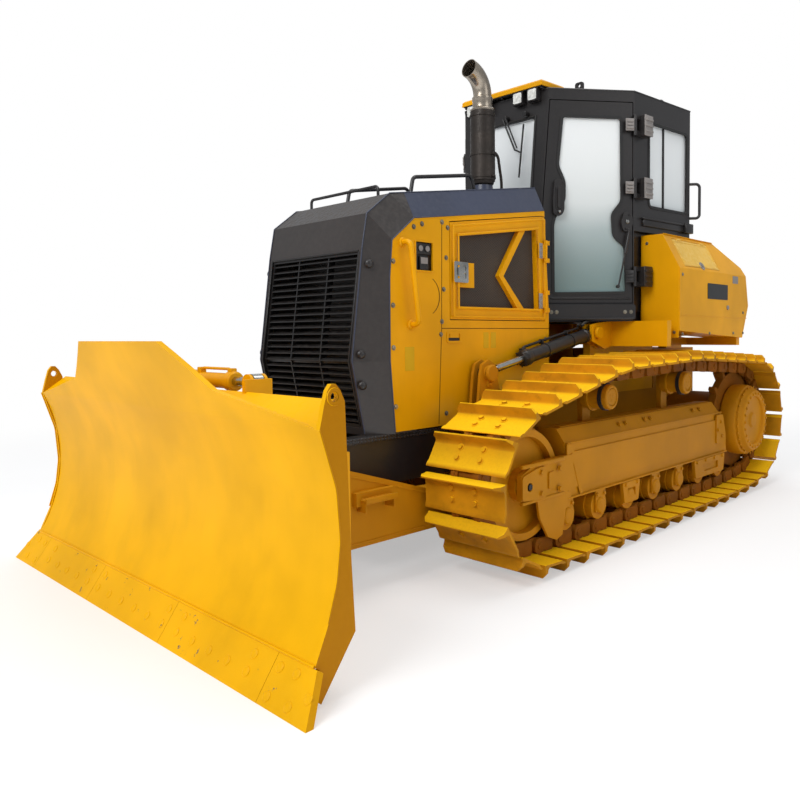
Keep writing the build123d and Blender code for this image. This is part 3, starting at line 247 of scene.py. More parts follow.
def cab_glass(name, low, high):
    """Window glass with painted light: a pale sky reflection above, the dim cab seen below."""
    pane = Finish(name, 0.06, 0.0, IOR=1.5)
    height = pane.axis(2)
    drift = pane.noise(1.8, 2.0, 0.5, (1.0, 1.0, 0.35))
    rise = (height + drift * 0.12).step(low, high)
    speck = pane.noise(160.0, 4.0, 0.8)
    # Teal grey below to near white above: painted reflection of the sky, painted shade of the cab
    tone = pane.add("ShaderNodeValToRGB",
        {"stops": ((0.0, rgba((128, 152, 152))), (0.38, rgba((178, 192, 193))),
        (0.62, rgba((222, 228, 228))), (1.0, rgba((238, 241, 241))))}, {0: rise})
    pane.put("Base Color", pane.mix(speck.step(0.55, 0.8, 0.0, 0.25), tone, rgba((206, 212, 212))))
    pane.put("Roughness", speck.step(0.4, 0.8, 0.05, 0.16))
    pane.put("Alpha", rise.step(0.0, 1.0, 0.8, 0.93))
    return pane.material


def woven(name, colour):
    """Cloth with a fine weave, for the operator's cushions."""
    cloth = Finish(name, 0.9)
    spot = cloth.add("ShaderNodeSeparateXYZ", {}, {0: cloth.place}, 0)
    rise = cloth.axis(2)
    weave = (spot * 1800.0).wave() * (rise * 1800.0).wave()
    cloud = cloth.noise(7.0, 4.0)
    return cloth.done(cloth.mix(cloud.step(0.3, 0.7), rgba(shade(colour, 0.7)), rgba(colour)),
        cloud.step(0.2, 0.8, 0.82, 0.96), weave, 0.4, 0.0008)


def punched(name, colour, pitch):
    """Dark screen with a fine grid of holes painted near black, as shade of the space behind."""
    screen = Finish(name, 0.55, 0.2)
    along = (screen.axis(1) * (math.tau / pitch)).wave()
    up = (screen.axis(2) * (math.tau / pitch)).wave()
    hole = (along * up).step(0.05, 0.35)
    cloud = screen.noise(3.0, 4.0)
    # Near-black holes: painted shade of the dark engine bay seen through them
    tone = screen.mix(hole, rgba(colour), rgba((12, 11, 11)))
    return screen.done(screen.mix(cloud.step(0.35, 0.75, 0.0, 0.35), tone, rgba((92, 82, 70))),
        cloud.step(0.3, 0.7, 0.5, 0.7), 1.0 - hole, 0.5, 0.002)


def glowing(name, colour):
    """Lamp lens: ribbed glass; a pale colour is a painted reflection of the bright reflector behind it."""
    lens = Finish(name, 0.12, 0.0)
    ribs = (lens.axis(0) * 900.0).wave()
    ribs2 = (lens.axis(2) * 900.0).wave()
    cloud = lens.noise(40.0, 3.0)
    return lens.done(lens.mix(cloud.step(0.3, 0.7), rgba(shade(colour, 0.82)), rgba(colour)),
        cloud.step(0.3, 0.7, 0.1, 0.25), ribs * ribs2, 0.3, 0.001)


FINISH = {}


def make_finishes(look):
    yellow = tuple(round(255 * c) for c in look.body_paint)
    ochre = tuple(round(255 * c) for c in look.track_paint)
    # blade and edge: sides puts painted shade on their sideways faces
    FINISH.update(blade=painted("blade yellow", yellow, dust=(240, 176, 10), dusty=0.2, gloss=0.4,
        shine=0.08, sides=0.9), edge=painted("edge yellow", yellow, dust=(226, 176, 30), dusty=0.2,
        chips=0.8, gloss=0.46, shine=0.1, sides=0.7), body=painted("body yellow", (236, 166, 2),
        dusty=0.14, gloss=0.34), lid=painted("lid yellow", (236, 186, 70), dust=(238, 212, 150),
        dusty=0.75, gloss=0.44), frame=painted("frame ochre", ochre, dust=(190, 134, 24), dusty=0.3,
        # the shoes' bright upper yellow is painted top light on their upward faces
        gloss=0.55), shoe=cast("shoe ochre", (204, 138, 10), 0.95, (246, 194, 16)),
        chain=cast("chain ochre", (142, 84, 10), 0.3, (186, 128, 40)), grey=painted("cowl grey",
        # eave: the hood's dark paint tinted blue, a painted reflection
        (52, 47, 45), dust=(104, 98, 92), dusty=0.35, gloss=0.3, shine=0.5), eave=painted("hood grey",
        (56, 62, 82), dust=(104, 106, 114), dusty=0.2, gloss=0.3, shine=0.5), black=painted("satin black",
        (34, 31, 31), dust=(84, 78, 72), dusty=0.25, gloss=0.34, shine=0.5), deep=painted("deep black",
        (20, 18, 18), dust=(66, 58, 50), dusty=0.3, gloss=0.42, shine=0.5),
        chrome=bare("plated rod", (205, 205, 200), 0.16), steel=bare("worn steel", (150, 146, 138), 0.38),
        zinc=bare("zinc bolt", (168, 162, 146), 0.42),
        stack=bare("stack steel", (186, 174, 158), 0.24, 0.9),
        silencer=bare("silencer steel", (62, 54, 48), 0.42, 0.5), alloy=painted("hinge grey",
        (140, 134, 130), dust=(160, 152, 140), dusty=0.3, gloss=0.45, shine=0.5),
        rubber=rubbery("black rubber", (28, 27, 27)), plastic=rubbery("black plastic", (40, 39, 39), 0.45,
        260.0, 0.0003), glass=cab_glass("cab glass", 1.62, 2.85), cloth=woven("seat cloth", (44, 43, 45)),
        screen=punched("door screen", (70, 60, 52), 0.016), seam=painted("panel seam", (96, 66, 10),
        dusty=0.2, gloss=0.6), label=painted("blank label", (214, 168, 20), dusty=0.1, gloss=0.3),
        # the white lamp lens colour is a painted reflection of its reflector
        lens=glowing("lamp lens", (236, 236, 230)), red=glowing("red lens", (170, 24, 18)))


# ---------------------------------------------------------------- modelling helpers

UP = (0, 0, 1)
OUTWARDS = (1, 0, 0)
FORWARDS = (0, -1, 0)
BACKWARDS = (0, 1, 0)
TURN = {"X": (0, math.pi / 2, 0), "Y": (math.pi / 2, 0, 0), "Z": (0, 0, 0)}


def clear():
    if bpy.context.object and bpy.context.object.mode != "OBJECT":
        bpy.ops.object.mode_set(mode="OBJECT")
    bpy.ops.object.select_all(action="DESELECT")


def pick(*objects):
    clear()
    for piece in objects:
        piece.select_set(True)
    bpy.context.view_layer.objects.active = objects[0]


@contextmanager
def editing(piece):
    """Edit mode on one piece, with all of it selected."""
    pick(piece)
    bpy.ops.object.mode_set(mode="EDIT")
    bpy.ops.mesh.select_all(action="SELECT")
    yield
    bpy.ops.object.mode_set(mode="OBJECT")


def settle(piece):
    """Makes the object a mesh and writes its place into it."""
    pick(piece)
    if piece.type != "MESH":
        bpy.ops.object.convert(target="MESH")
        piece = bpy.context.object
    bpy.ops.object.transform_apply(location=True, rotation=True, scale=True)
    return piece


def closed(piece):
    """Merges doubles and turns all faces outwards."""
    with editing(piece):
        bpy.ops.mesh.remove_doubles(threshold=1e-5)
        bpy.ops.mesh.normals_make_consistent(inside=False)
    return piece


def soften(piece, width, segments=2, angle=35):
    """Rounded edges, applied, with smooth shading between them."""
    pick(piece)
    if width:
        bevel = piece.modifiers.new("round", "BEVEL")
        bevel.width = width
        bevel.segments = segments
        bevel.limit_method = "ANGLE"
        bevel.angle_limit = math.radians(angle)
        bevel.harden_normals = False
        bpy.ops.object.modifier_apply(modifier="round")
    bpy.ops.object.shade_smooth_by_angle(angle=math.radians(angle))
    return piece


def added(data):
    """A new object of the given curve or mesh."""
    piece = bpy.data.objects.new("piece", data)
    bpy.context.collection.objects.link(piece)
    return piece


def drawn(kind, *loops, cyclic=True):
    """A "2D" or "3D" curve of straight lines through each loop's points."""
    clear()
    curve = bpy.data.curves.new("line", "CURVE")
    curve.dimensions = kind
    for loop in loops:
        line = curve.splines.new("POLY")
        line.points.add(len(loop) - 1)
        line.use_cyclic_u = cyclic
        for point, spot in zip(line.points, loop):
            point.co = (*spot, 1)
    return curve


def block(low, high, edge=0.002):
    clear()
    centre = [(a + b) / 2 for a, b in zip(low, high)]
    bpy.ops.mesh.primitive_cube_add(size=1, location=centre)
    piece = bpy.context.object
    piece.scale = [b - a for a, b in zip(low, high)]
    settle(piece)
    return soften(piece, edge) if edge else piece


def drum(axis, centre, radius, length, sides=32, edge=0.0):
    clear()
    bpy.ops.mesh.primitive_cylinder_add(vertices=sides, radius=radius, depth=length, location=centre,
        rotation=TURN[axis])
    return soften(settle(bpy.context.object), edge, 1)


def turned(axis, centre, profile, sides=40):
    """A body of revolution: profile is (along, radius) pairs, spun round axis."""
    piece = settle(added(drawn("3D", [(radius, 0, along) for along, radius in profile], cyclic=False)))
    with editing(piece):
        bpy.ops.mesh.spin(steps=sides, angle=math.tau, center=(0, 0, 0), axis=UP)
    closed(piece)
    piece.rotation_euler = TURN[axis]
    piece.location = centre
    return soften(settle(piece), 0, angle=30)


def plate(outline, plane, level, thickness, edge=0.0015, holes=()):
    """A flat plate: outline in plane "YZ", "XZ" or "XY", from level through thickness."""
    curve = drawn("2D", *[[(u, v, 0) for u, v in loop] for loop in (outline, *holes)])
    curve.fill_mode = "BOTH"
    curve.extrude = thickness / 2
    piece = settle(added(curve))
    middle = level + thickness / 2
    piece.matrix_world = {"YZ": Matrix(((0, 0, 1, middle), (1, 0, 0, 0), (0, 1, 0, 0), (0, 0, 0, 1))),
        "XZ": Matrix(((1, 0, 0, 0), (0, 0, -1, middle), (0, 1, 0, 0), (0, 0, 0, 1))),
        "XY": Matrix.Translation((0, 0, middle))}[plane]
    closed(settle(piece))
    return soften(piece, edge, 1) if edge else piece


def pipe(points, radius, bend=0.04):
    """A round bar or hose through points, with its corners bent round."""
    clear()
    curve = bpy.data.curves.new("line", "CURVE")
    curve.dimensions = "3D"
    curve.bevel_depth = radius
    curve.bevel_resolution = 2
    curve.use_fill_caps = True
    curve.resolution_u = 6
    knots = [Vector(p) for p in points]
    spots = [(knots[0], None)]
    for a, b, c in zip(knots, knots[1:], knots[2:]):
        reach = min(bend, (a - b).length * 0.45, (c - b).length * 0.45)
        spots.append((b + (a - b).normalized() * reach, b))
        spots.append((b + (c - b).normalized() * reach, b))
    spots.append((knots[-1], None))
    line = curve.splines.new("BEZIER")
    line.bezier_points.add(len(spots) - 1)
    for index, (point, (spot, corner)) in enumerate(zip(line.bezier_points, spots)):
        point.co = spot
        point.handle_left_type = point.handle_right_type = "FREE"
        point.handle_left = point.handle_right = spot
        if corner is not None:
            towards = spot + (corner - spot) * 0.55
            if index % 2:
                point.handle_right = towards
            else:
                point.handle_left = towards
    return soften(settle(added(curve)), 0, angle=50)


def bead(points, radius):
    """A strip of round section along a closed line."""
    curve = drawn("3D", points)
    curve.bevel_depth = radius
    curve.bevel_resolution = 1
    return soften(settle(added(curve)), 0, angle=50)


def join(*pieces):
    """The pieces as one object."""
    pick(*pieces)
    if len(pieces) > 1:
        bpy.ops.object.join()
    return bpy.context.object


def copied(mesh, place):
    """A new object with its own copy of a mesh, moved by a matrix."""
    mesh = mesh.copy()
    mesh.transform(place)
    return added(mesh)


def spread(source, places):
    """Copies of source at the given matrices, joined as one piece."""
    copies = [copied(source.data, place) for place in places]
    bpy.data.objects.remove(source)
    return join(*copies)


def mirrored(piece):
    """The same piece on the machine's other side."""
    copy = copied(piece.data, Matrix.Scale(-1, 4, OUTWARDS))
    with editing(copy):
        bpy.ops.mesh.flip_normals()
    return copy


def doubled(piece):
    """The piece and its mirror as one object."""
    return join(piece, mirrored(piece))


def moved(piece, place):
    piece.data.transform(place)
    piece.data.update()
    return piece


def coat(piece, finish):
    if not FINISH:
        make_finishes(look())
    piece.data.materials.clear()
    piece.data.materials.append(FINISH[finish])


def fit(name, piece, body, finish):
    """Names and paints a piece and lets it ride a body."""
    piece.name = name
    piece.data.name = name
    coat(piece, finish)
    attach(piece, body)
    return piece


def pair(make, name, body, finish):
    """Builds the left piece and its mirror; body may hold a % for the side."""
    left = make()
    right = mirrored(left)
    fit(name + "_l", left, body.replace("%", "l"), finish)
    fit(name + "_r", right, body.replace("%", "r"), finish)


def stud(point, normal, spin=0.0):
    """Place for a fitting whose head points along normal."""
    turn = Vector(normal).to_track_quat("Z", "Y").to_matrix().to_4x4()
    return Matrix.Translation(point) @ turn @ Matrix.Rotation(spin, 4, "Z")


def bolt(size=0.012, washer=True):
    """A hexagon head on a washer, head up, seated at the origin."""
    head = drum("Z", (0, 0, size * 0.42), size, size * 0.7, 6, size * 0.1)
    if not washer:
        return head
    return join(head, drum("Z", (0, 0, size * 0.06), size * 1.35, size * 0.16, 16))


def button(size=0.012):
    """A low round head."""
    clear()
    bpy.ops.mesh.primitive_uv_sphere_add(segments=14, ring_count=8, radius=size, location=(0, 0, 0))
    head = bpy.context.object
    head.scale = (1, 1, 0.55)
    with editing(settle(head)):
        bpy.ops.mesh.bisect(plane_co=(0, 0, -0.0005), plane_no=UP, clear_inner=True, use_fill=True)
    return soften(head, 0)


# ---------------------------------------------------------------- outlines and places

def round_loop(points, radius, steps=5):
    """A closed outline with each corner turned by a small arc."""
    loop = []
    count = len(points)
    for index in range(count):
        a, b, c = (Vector(points[(index + k) % count]) for k in (-1, 0, 1))
        reach = min(radius, (a - b).length * 0.48, (c - b).length * 0.48)
        start, end = b + (a - b).normalized() * reach, b + (c - b).normalized() * reach
        for k in range(steps + 1):
            t = k / steps
            spot = start * (1 - t) ** 2 + b * 2 * t * (1 - t) + end * t ** 2
            loop.append((spot.x, spot.y))
    return loop


def round_box(u0, v0, u1, v1, radius):
    """A clockwise rectangle with rounded corners, between two opposite corners."""
    return round_loop([(u0, v0), (u0, v1), (u1, v1), (u1, v0)], radius)


def arc(centre, radius, start, end, steps=10):
    """Points on a circle from one angle to another, in degrees."""
    angles = [math.radians(start + (end - start) * k / steps) for k in range(steps + 1)]
    return [(centre[0] + radius * math.cos(a), centre[1] + radius * math.sin(a)) for a in angles]


def offset(loop, out):
    """A closed clockwise outline moved outwards by out."""
    points = []
    for index in range(len(loop)):
        a, b, c = (Vector(loop[(index + k) % len(loop)]) for k in (-1, 0, 1))
        first, second = (b - a).normalized(), (c - b).normalized()
        n1, n2 = Vector((-first.y, first.x)), Vector((-second.y, second.x))
        spot = b + (n1 + n2) * out / max(0.5, 1 + n1.dot(n2))
        points.append((spot.x, spot.y))
    return points


def wheel(x, y, z, radius, angles, spun=False):
    """Places on a circle on an upright face, heads outwards; spun turns each with its angle."""
    return [stud((x, y + radius * math.cos(a), z + radius * math.sin(a)), OUTWARDS, a if spun else 0)
        for a in angles]


def faced(x, spots):
    """Places on an upright face, heads outwards, at the given (y, z) spots."""
    return [stud((x, y, z), OUTWARDS) for y, z in spots]


def wall(a, b):
    """Local frame of an upright wall from a to b: x along it, y inwards, z up."""
    ux, uy = b[0] - a[0], b[1] - a[1]
    size = math.hypot(ux, uy)
    ux, uy = ux / size, uy / size
    return Matrix(((ux, -uy, 0, a[0]), (uy, ux, 0, a[1]), (0, 0, 1, 0), (0, 0, 0, 1)))


def along(a, b):
    """Local frame with z from a towards b and x level."""
    z = (Vector(b) - Vector(a)).normalized()
    x = z.cross(Vector(UP)).normalized()
    y = z.cross(x)
    return Matrix(((x.x, y.x, z.x, a[0]), (x.y, y.y, z.y, a[1]), (x.z, y.z, z.z, a[2]), (0, 0, 0, 1)))


# ---------------------------------------------------------------- the chain's path

IDLER = (-0.96, 0.495, 0.37)
SPROCKET = (2.08, 0.588, 0.445)
ROLLER_LINE = 0.25
ROLLERS = tuple(-0.57 + 0.365 * k for k in range(7))
CARRIERS = ((-0.121, 0.932), (0.957, 0.962))
TRACK_X = 0.94
LINK_PITCH = 0.2032


def chain_pins():
    """Chain pins evenly spaced round idler, end rollers, sprocket and carrier rollers."""
    wheels = [IDLER, (ROLLERS[0], ROLLER_LINE, 0.135), (ROLLERS[-1], ROLLER_LINE, 0.135), SPROCKET]
    wheels += [(y, z, 0.133) for y, z in reversed(CARRIERS)]
    legs = []
    for index, (y1, z1, r1) in enumerate(wheels):
        y2, z2, r2 = wheels[(index + 1) % len(wheels)]
        reach = math.hypot(y2 - y1, z2 - z1)
        lean = math.atan2(z2 - z1, y2 - y1) - math.pi / 2 + math.asin((r1 - r2) / reach)
        out = (math.cos(lean), math.sin(lean))
        legs.append((lean, (y1 + r1 * out[0], z1 + r1 * out[1]), (y2 + r2 * out[0], z2 + r2 * out[1])))
    path = []
    for index, (y, z, r) in enumerate(wheels):
        start = legs[index - 1][0]
        turn = (legs[index][0] - start) % math.tau
        path.append((r * turn, ("arc", y, z, r, start, turn)))
        path.append((math.dist(legs[index][1], legs[index][2]), ("line", legs[index][1], legs[index][2])))
    total = sum(size for size, _ in path)
    count = round(total / LINK_PITCH)
    pins = []
    for index in range(count):
        run = total * index / count
        for size, piece in path:
            if run < size:
                break
            run -= size
        if piece[0] == "arc":
            _, y, z, r, start, turn = piece
            angle = start + turn * run / size
            pins.append((y + r * math.cos(angle), z + r * math.sin(angle)))
        else:
            (ya, za), (yb, zb) = piece[1:]
            pins.append((ya + (yb - ya) * run / size, za + (zb - za) * run / size))
    return pins


def chain_places(side):
    """One matrix a link: local x along the machine's width, y along the link, z outwards."""
    pins = chain_pins()
    places = []
    for index, (ya, za) in enumerate(pins):
        yb, zb = pins[(index + 1) % len(pins)]
        size = math.dist((ya, za), (yb, zb))
        ty, tz = (yb - ya) / size, (zb - za) / size
        places.append(Matrix(((-1, 0, 0, side * TRACK_X), (0, ty, tz, ya), (0, tz, -ty, za), (0, 0, 0, 1))))
    return places, math.dist(pins[0], pins[1])


# ---------------------------------------------------------------- places of the fittings

CAB_A = (0.4, 0.16)
CAB_B = (0.808, 0.652)
CAB_C = (0.885, 1.4)
CAB_D = (0.62, 1.61)
DOOR_WALL = (CAB_A, CAB_B)
SIDE_WALL = (CAB_B, CAB_C)
DOOR_WIDTH = math.dist(CAB_A, CAB_B)
CAB_HINGES = (1.75, 2.39, 2.84)
DOOR_WINDOW = [(0.024, 1.618), (0.02, 2.13), (0.042, 2.195), (0.106, 2.3), (0.106, 2.43), (0.056, 2.54),
    (0.092, 2.903), (0.547, 2.903), (0.553, 2.29), (0.479, 2.2), (0.491, 2.046), (0.577, 1.976),
    (0.591, 1.625)]
SIDE_PANEL_X = 0.52
ENGINE_DOOR_X = 0.535
LIFT_BASE = (0.581, 0.45, 1.341)
LIFT_EYE = (0.581, -0.78, 1.1)
ANGLE_BASE = (0.06, -2.06, 0.725)
ANGLE_EYE = (0.72, -2.405, 0.725)
EDGE_TIP = (-2.774, 0.0)
EDGE_TOP = (-2.667, 0.155)
TILT_PIN = (-2.41, 1.13)
STACK = (0.234, -0.372)
IDLER_BORE = (-0.985, 0.492)
ARM_FACE = 0.619
BOX_FACE = 1.1
LID_TOP = (0.962, 2.062)
LID_RUN = (0.138, -0.256)
TOW_PIN = (0.0, 2.71)
REAR_LAMP_X = 0.64
ARM_REST_X = 0.292
LEVERS_X = (-0.33, 0.33)
EDGE_BOLTS = tuple(0.07 + 0.14 * k for k in range(8))


# ---------------------------------------------------------------- operators

class BulldozerLook(bpy.types.PropertyGroup):
    """Sizes and colours a user would change."""

    body_paint: bpy.props.FloatVectorProperty(
        name="Body paint", description="Colour of the blade as it looks",
        subtype="COLOR_GAMMA", size=3, min=0, max=1, default=(0.945, 0.700, 0.0))
    track_paint: bpy.props.FloatVectorProperty(
        name="Undercarriage paint", description="Colour of the frames under the bodywork",
        subtype="COLOR_GAMMA", size=3, min=0, max=1, default=(0.765, 0.505, 0.015))
    shoe_width: bpy.props.FloatProperty(
        name="Shoe width", description="Width of a track shoe",
        unit="LENGTH", subtype="DISTANCE", min=0.4, max=0.9, default=0.560)
    bolt_size: bpy.props.FloatProperty(
        name="Panel bolt", description="Half width of a panel bolt's head",
        unit="LENGTH", subtype="DISTANCE", min=0.004, max=0.03, default=0.011)
    seal_width: bpy.props.FloatProperty(
        name="Window seal", description="Width of the rubber round the cab's windows",
        unit="LENGTH", subtype="DISTANCE", min=0.005, max=0.06, default=0.022)
    view_turn: bpy.props.FloatProperty(
        name="Camera turn", description="Camera's turn about the upright axis",
        unit="ROTATION", subtype="ANGLE", default=math.radians(42.48))


def look():
    return bpy.context.scene.bulldozer_look


class PieceOperator(bpy.types.Operator):
    """Shared by the operators that build a piece."""

    bl_options = {"REGISTER", "UNDO"}

    def execute(self, context):
        clear()
        self.build(look())
        clear()
        return {"FINISHED"}


class BULLDOZER_OT_stage(PieceOperator):
    """Adds the floor, the lamps, the pale surroundings and the camera"""

    bl_idname = "bulldozer.stage"
    bl_label = "Stage"

    # name, place, size, power and the spot it is aimed at
    LAMPS = (
        ("key_lamp", (1.5, -10.0, 8.5), 7.0, 820, (0, -0.8, 1.0)),
        ("side_lamp", (10.5, 0.5, 6.0), 6.0, 130, (0, 0.4, 1.3)),
        ("top_lamp", (1.0, 0.5, 11.0), 8.0, 420, (0, 0.3, 1.2)),
        ("rear_lamp", (-7.0, 8.0, 8.0), 8.0, 200, (0, 0.5, 1.4)),
    )
    CAMERA = (3.499, -4.186, 1.337)
    CAMERA_DIP = math.radians(2.67)
    CAMERA_ROLL = math.radians(-0.47)
    LENS = 32.88
    SENSOR = 36
    SHIFT = (-0.0747, -0.0393)

    def build(self, sizes):
        scene = bpy.context.scene
        scene.view_settings.view_transform = "Standard"
        bpy.ops.mesh.primitive_plane_add(size=90, location=(0, 0, 0))
        floor = settle(bpy.context.object)
        floor.name = "floor"
        floor.data.materials.append(self.backdrop_material())
        self.surroundings(scene)
        for name, place, size, power, aim in self.LAMPS:
            bpy.ops.object.light_add(type="AREA", location=place)
            lamp = bpy.context.object
            lamp.name = name
            lamp.data.shape = "DISK"
            lamp.data.size = size
            lamp.data.energy = power
            lamp.rotation_euler = (Vector(aim) - Vector(place)).to_track_quat("-Z", "Y").to_euler()
        bpy.ops.object.camera_add(location=self.CAMERA)
        camera = bpy.context.object
        camera.name = "camera"
        tip = Matrix.Rotation(math.pi / 2 - self.CAMERA_DIP, 4, "X")
        roll = Matrix.Rotation(self.CAMERA_ROLL, 4, "Z")
        camera.rotation_euler = (Matrix.Rotation(sizes.view_turn, 4, "Z") @ tip @ roll).to_euler()
        camera.data.lens = self.LENS
        camera.data.sensor_width = self.SENSOR
        camera.data.shift_x, camera.data.shift_y = self.SHIFT
        camera.data.clip_end = 200
        scene.camera = camera

    def backdrop_material(self):
        """A pale floor that keeps the shadow nearby and fades to plain white for the camera."""
        floor = Finish("pale floor", 0.9)
        drift = floor.noise(0.4, 3.0)
        floor.put("Base Color", floor.mix(drift.step(0.3, 0.7), rgba((248, 248, 248)),
            rgba((252, 252, 252))))
        away = floor.add("ShaderNodeVectorMath", {"operation": "LENGTH"}, {0: floor.place}, "Value")
        seen = floor.add("ShaderNodeLightPath", {}, {}, "Is Camera Ray")
        share = seen * away.step(3.0, 9.0, 0.45, 1.0)
        glow = floor.add("ShaderNodeEmission", {}, {"Color": (1, 1, 1, 1), "Strength": 1.0})
        floor.feed(floor.end, {0: floor.add("ShaderNodeMixShader", {},
            {0: share, 1: floor.surface, 2: glow})})
        return floor.material

    def surroundings(self, scene):
        """Dim light all round, and plain white where the camera looks past the floor."""
        scene.world = bpy.data.worlds.new("pale studio")
        sky = Tree(scene.world, "ShaderNodeOutputWorld")
        dim = sky.add("ShaderNodeBackground", {}, {"Color": (0.93, 0.96, 1.0, 1), "Strength": 0.5})
        white = sky.add("ShaderNodeBackground", {}, {"Color": (1, 1, 1, 1), "Strength": 1.0})
        seen = sky.add("ShaderNodeLightPath", {}, {}, "Is Camera Ray")
        through = sky.add("ShaderNodeLightPath", {}, {}, "Is Transmission Ray")
        sky.feed(sky.end, {0: sky.add("ShaderNodeMixShader", {},
            {0: seen.most(through), 1: dim, 2: white})})


class BULLDOZER_OT_paint(PieceOperator):
    """Gives each solid of the frame its paint or metal"""

    bl_idname = "bulldozer.paint"
    bl_label = "Paint"

    def build(self, sizes):
        table = {
            "blade": "blade_board",
            "edge": "cutting_edge",
            "body": "side_panels platforms side_boxes rear_tank roof_visor engine_door_l engine_door_r "
                    "blade_yoke blade_ribs blade_pivot tilt_bracket tilt_barrel",
            "lid": "box_lid_l box_lid_r",
            "frame": "main_frame drawbar c_frame track_frames idlers final_drives roller_guards "
                     "track_rollers carrier_rollers",
            "chain": "sprockets track_l track_r",
            "grey": "radiator_guard",
            "eave": "hood_top",
            "deep": "engine_block radiator_core front_grille cab_floor",
            "black": "nose_frame handrails cab_frame cab_roof work_lights cab_door_l cab_door_r "
                     "lift_barrel_l lift_barrel_r angle_barrel_l angle_barrel_r",
            "plastic": "cab_console",
            "silencer": "silencer",
            "stack": "exhaust_stack",
            "chrome": "lift_rod_l lift_rod_r angle_rod_l angle_rod_r tilt_rod",
            "glass": "cab_glass door_glass_l door_glass_r",
            "cloth": "operator_seat",
            "screen": "door_mesh_l door_mesh_r",
        }
        make_finishes(sizes)
        done = set()
        for finish, names in table.items():
            for name in names.split():
                coat(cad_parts[name], finish)
                done.add(name)
        missed = set(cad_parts) - done
        if missed:
            raise RuntimeError("No finish for " + ", ".join(sorted(missed)))


class BULLDOZER_OT_tracks(PieceOperator):
    """Builds both tracks: shoes with grousers and bolts, links, pins and bushings"""

    bl_idname = "bulldozer.tracks"
    bl_label = "Tracks"

    def shoe(self, length, width):
        outline = [(0.004, 0.04), (0.003, 0.05), (0.007, 0.056), (0.012, 0.112), (0.015, 0.115),
            (0.021, 0.115), (0.024, 0.112), (0.034, 0.066), (0.044, 0.056), (0.06, 0.0545),
            (length - 0.04, 0.0545), (length - 0.026, 0.06), (length - 0.008, 0.0615),
            (length - 0.001, 0.058), (length - 0.002, 0.053), (length - 0.022, 0.048),
            (length - 0.03, 0.041)]
        piece = plate(outline, "YZ", -width / 2, width, 0)
        with editing(piece):
            for side in BOTH:
                corner = (side * (width / 2 - 0.026), 0, 0.115)
                bpy.ops.mesh.select_all(action="SELECT")
                bpy.ops.mesh.bisect(plane_co=corner, plane_no=(side * 0.75, 0, 0.66), clear_outer=True,
                    use_fill=True)
        return soften(piece, 0, angle=40)

    def links(self, length):
        bars = []
        for side in BOTH:
            for near, far, first in ((0.074, 0.098, True), (0.052, 0.073, False)):
                if first:
                    outline = arc((0, 0), 0.047, 65, 275, 12) + [(0.03, -0.045), (length * 0.55, -0.045),
                        (length * 0.62, -0.02), (length * 0.6, 0.039), (0.06, 0.039), (0.04, 0.03)]
                else:
                    outline = [(length * 0.42, -0.03), (length * 0.5, -0.045), (length - 0.02, -0.045)]
                    outline += arc((length, 0), 0.044, -80, 110, 12)
                    outline += [(length - 0.045, 0.036), (length * 0.45, 0.039)]
                a, b = (near, far) if side > 0 else (-far, -near)
                bars.append(plate(outline, "YZ", a, b - a, 0))
        bars.append(drum("X", (0, 0, 0), 0.033, 0.118, 14))
        bars.append(drum("X", (0, 0, 0), 0.021, 0.206, 12, 0.002))
        return soften(join(*bars), 0, angle=35)

    def build(self, sizes):
        for side in BOTH:
            places, length = chain_places(side)
            head = spread(bolt(0.016), [Matrix.Translation((x, y, 0.0545)) for x in (-0.082, 0.082)
                for y in (0.066, 0.126)])
            shoe = self.shoe(length, sizes.shoe_width)
            shoes = fit("track_shoes" + SIDE[side], spread(shoe, places), "chassis", "shoe")
            fit("shoe_bolts" + SIDE[side], spread(head, places), "chassis", "shoe")
            fit("track_links" + SIDE[side], spread(self.links(length), places), "chassis", "chain")
            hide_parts("track" + SIDE[side])


